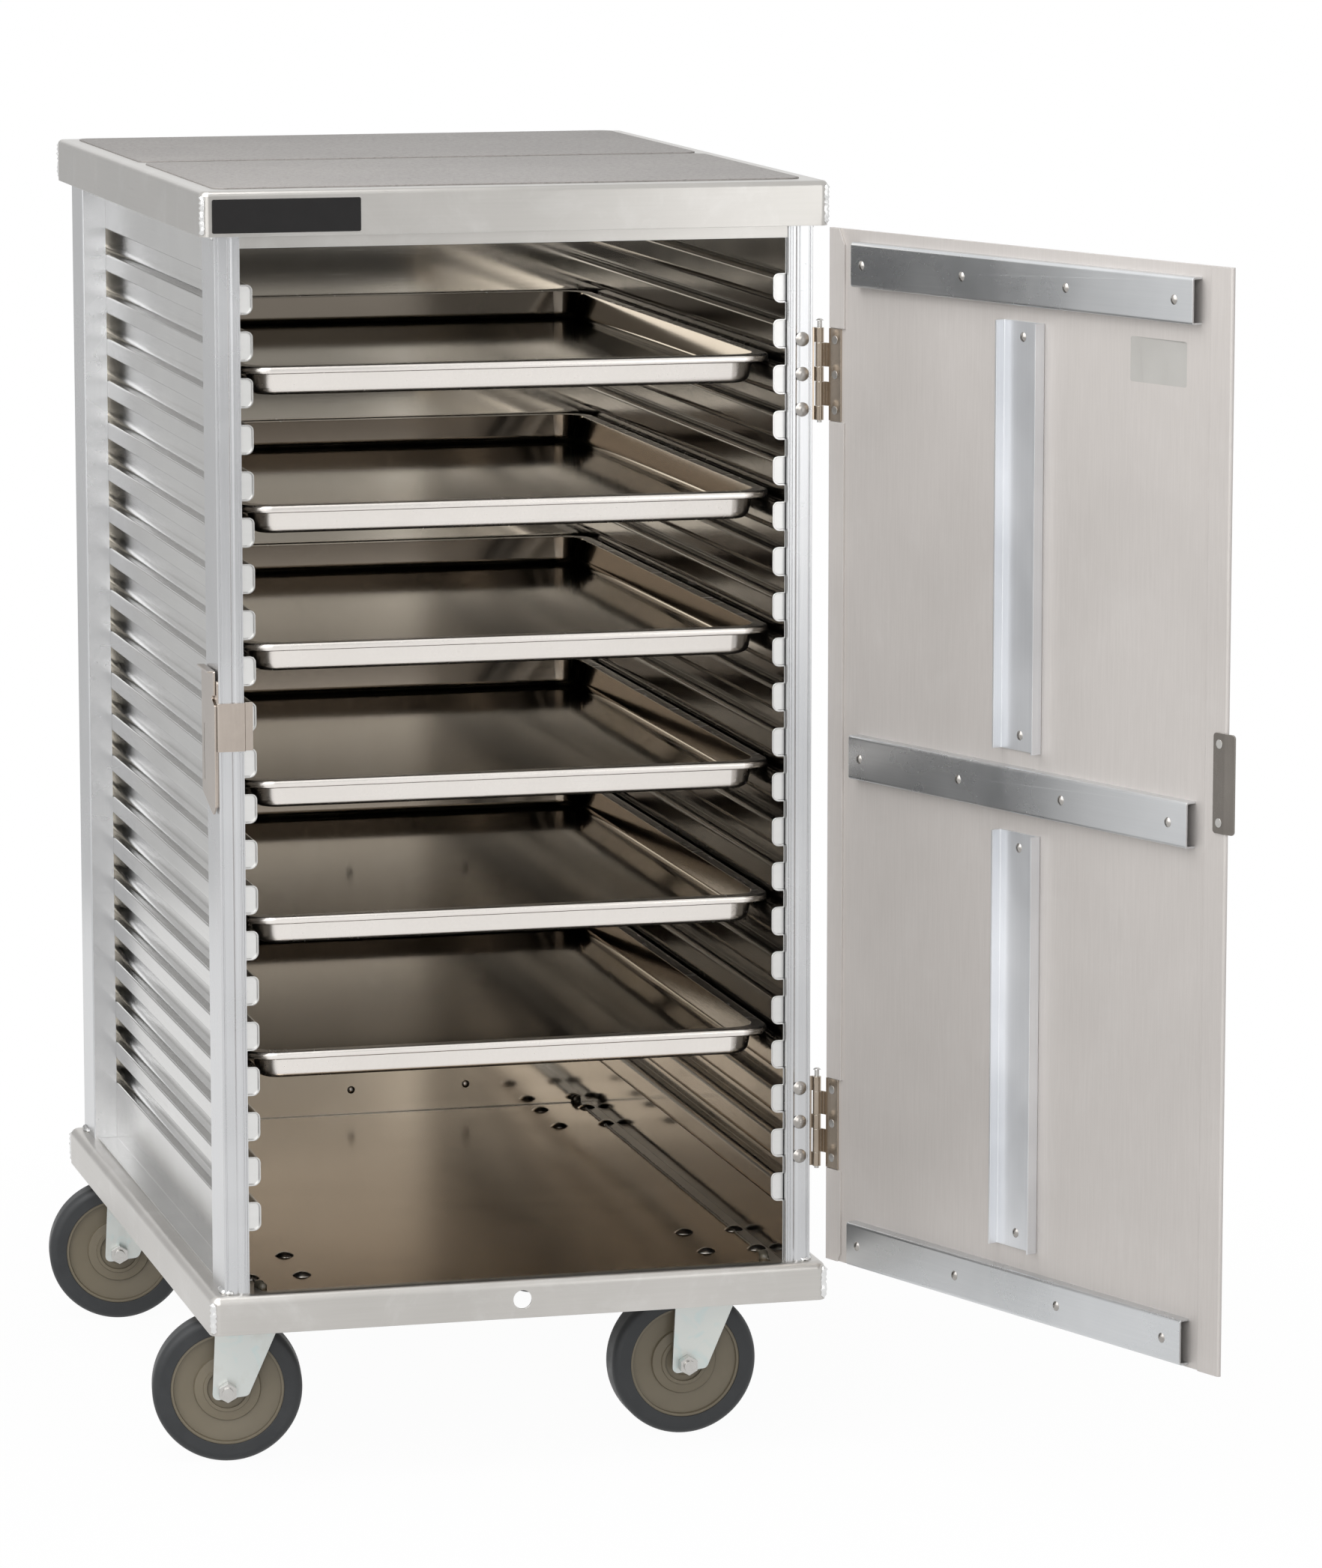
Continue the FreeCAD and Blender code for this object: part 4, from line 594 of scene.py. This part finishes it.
near, far, near_white = 0.35, 1.1, 0.965
paper = bpy.data.materials.new("studio_paper")
paper.use_nodes = True
tree = paper.node_tree
shader = tree.nodes["Principled BSDF"]
shader.inputs["Base Color"].default_value = (0.82, 0.82, 0.82, 1)
shader.inputs["Roughness"].default_value = 0.9
shader.inputs["Specular IOR Level"].default_value = 0.0
glow = add_node(tree, "ShaderNodeEmission", {"Strength": 1.0}).outputs[0]
spot = add_node(tree, "ShaderNodeTexCoord").outputs["Object"]
away = add_node(tree, "ShaderNodeVectorMath", {0: spot}, operation="LENGTH").outputs["Value"]
white = ramp(tree, away, near, far, near_white, 1.0)
share = reckon(tree, "MULTIPLY", seen_white(tree), white)
mixed = add_node(tree, "ShaderNodeMixShader", {0: share, 1: shader.outputs[0], 2: glow}).outputs[0]
tree.links.new(mixed, tree.nodes["Material Output"].inputs["Surface"])
floor_data.materials.append(paper)

surround_light, surround_seen = 0.45, 1.0
world = bpy.data.worlds.new("studio")
bpy.context.scene.world = world
world.use_nodes = True
tree = world.node_tree
around = tree.nodes["Background"]
around.inputs["Color"].default_value = (1, 1, 1, 1)
level = ramp(tree, seen_white(tree), 0.0, 1.0, surround_light, surround_seen)
tree.links.new(level, around.inputs["Strength"])


def soft_lamp(name, place, target, size, power):
    lamp = bpy.data.lights.new(name, "AREA")
    lamp.shape = "SQUARE"
    lamp.size = size
    lamp.energy = power
    held = bpy.data.objects.new(name, lamp)
    held.location = place
    held.rotation_euler = (Vector(target) - Vector(place)).to_track_quat("-Z", "Y").to_euler()
    bpy.context.scene.collection.objects.link(held)


soft_lamp("left_softbox", (-2.7, -1.9, 2.5), (0.3, -0.5, 0.9), 2.6, 50)
soft_lamp("door_softbox", (-0.5, -0.75, 2.2), (0.36, -0.6, 0.85), 1.1, 15)
soft_lamp("front_softbox", (-1.5, -4.6, 2.2), (0.1, 0, 0.6), 2.8, 58)
soft_lamp("right_softbox", (1.09, -2.5, 0.85), (0.1, -0.3, 0.8), 0.72, 3.2)


def hang_flag(name, place, wide, tall, shade):
    """A grey cloth that only the metal's reflections see, which gives the bare sheet its depth."""
    mesh = bmesh.new()
    bmesh.ops.create_grid(mesh, x_segments=1, y_segments=1, size=0.5)
    stand = Matrix.Translation(place) @ upright @ Matrix.Diagonal((wide, tall, 1, 1))
    bmesh.ops.transform(mesh, matrix=stand, verts=mesh.verts)
    data = bpy.data.meshes.new(name)
    mesh.to_mesh(data)
    mesh.free()
    cloth = bpy.data.materials.new(name + "_cloth")
    cloth.use_nodes = True
    tone = add_node(cloth.node_tree, "ShaderNodeEmission", {"Strength": shade}).outputs[0]
    cloth.node_tree.links.new(tone, cloth.node_tree.nodes["Material Output"].inputs["Surface"])
    data.materials.append(cloth)
    flag = bpy.data.objects.new(name, data)
    bpy.context.scene.collection.objects.link(flag)
    flag.visible_camera = False
    flag.visible_diffuse = False
    flag.visible_shadow = False


hang_flag("left_flag", (0.20, -2.5, 0.95), 0.86, 1.0, 0.60)
hang_flag("rear_flag", (-1.15, 2.4, 0.85), 1.4, 1.7, 0.62)

sensor_wide, focal_pixels, picture_tall = 36.0, 8933.34, 2093
camera_place, tipped_down, turned_right = (-1.262289, -5.678758, 1.462355), 0.158816, 0.253852
camera_data = bpy.data.cameras.new("camera")
camera_data.sensor_width = sensor_wide
camera_data.lens = sensor_wide * focal_pixels / picture_tall
camera_data.clip_end = 60
camera = bpy.data.objects.new("camera", camera_data)
camera.location = camera_place
camera.rotation_euler = (math.pi / 2 - tipped_down, 0, -turned_right)
bpy.context.scene.collection.objects.link(camera)
bpy.context.scene.camera = camera
bpy.context.scene.view_settings.view_transform = "Standard"
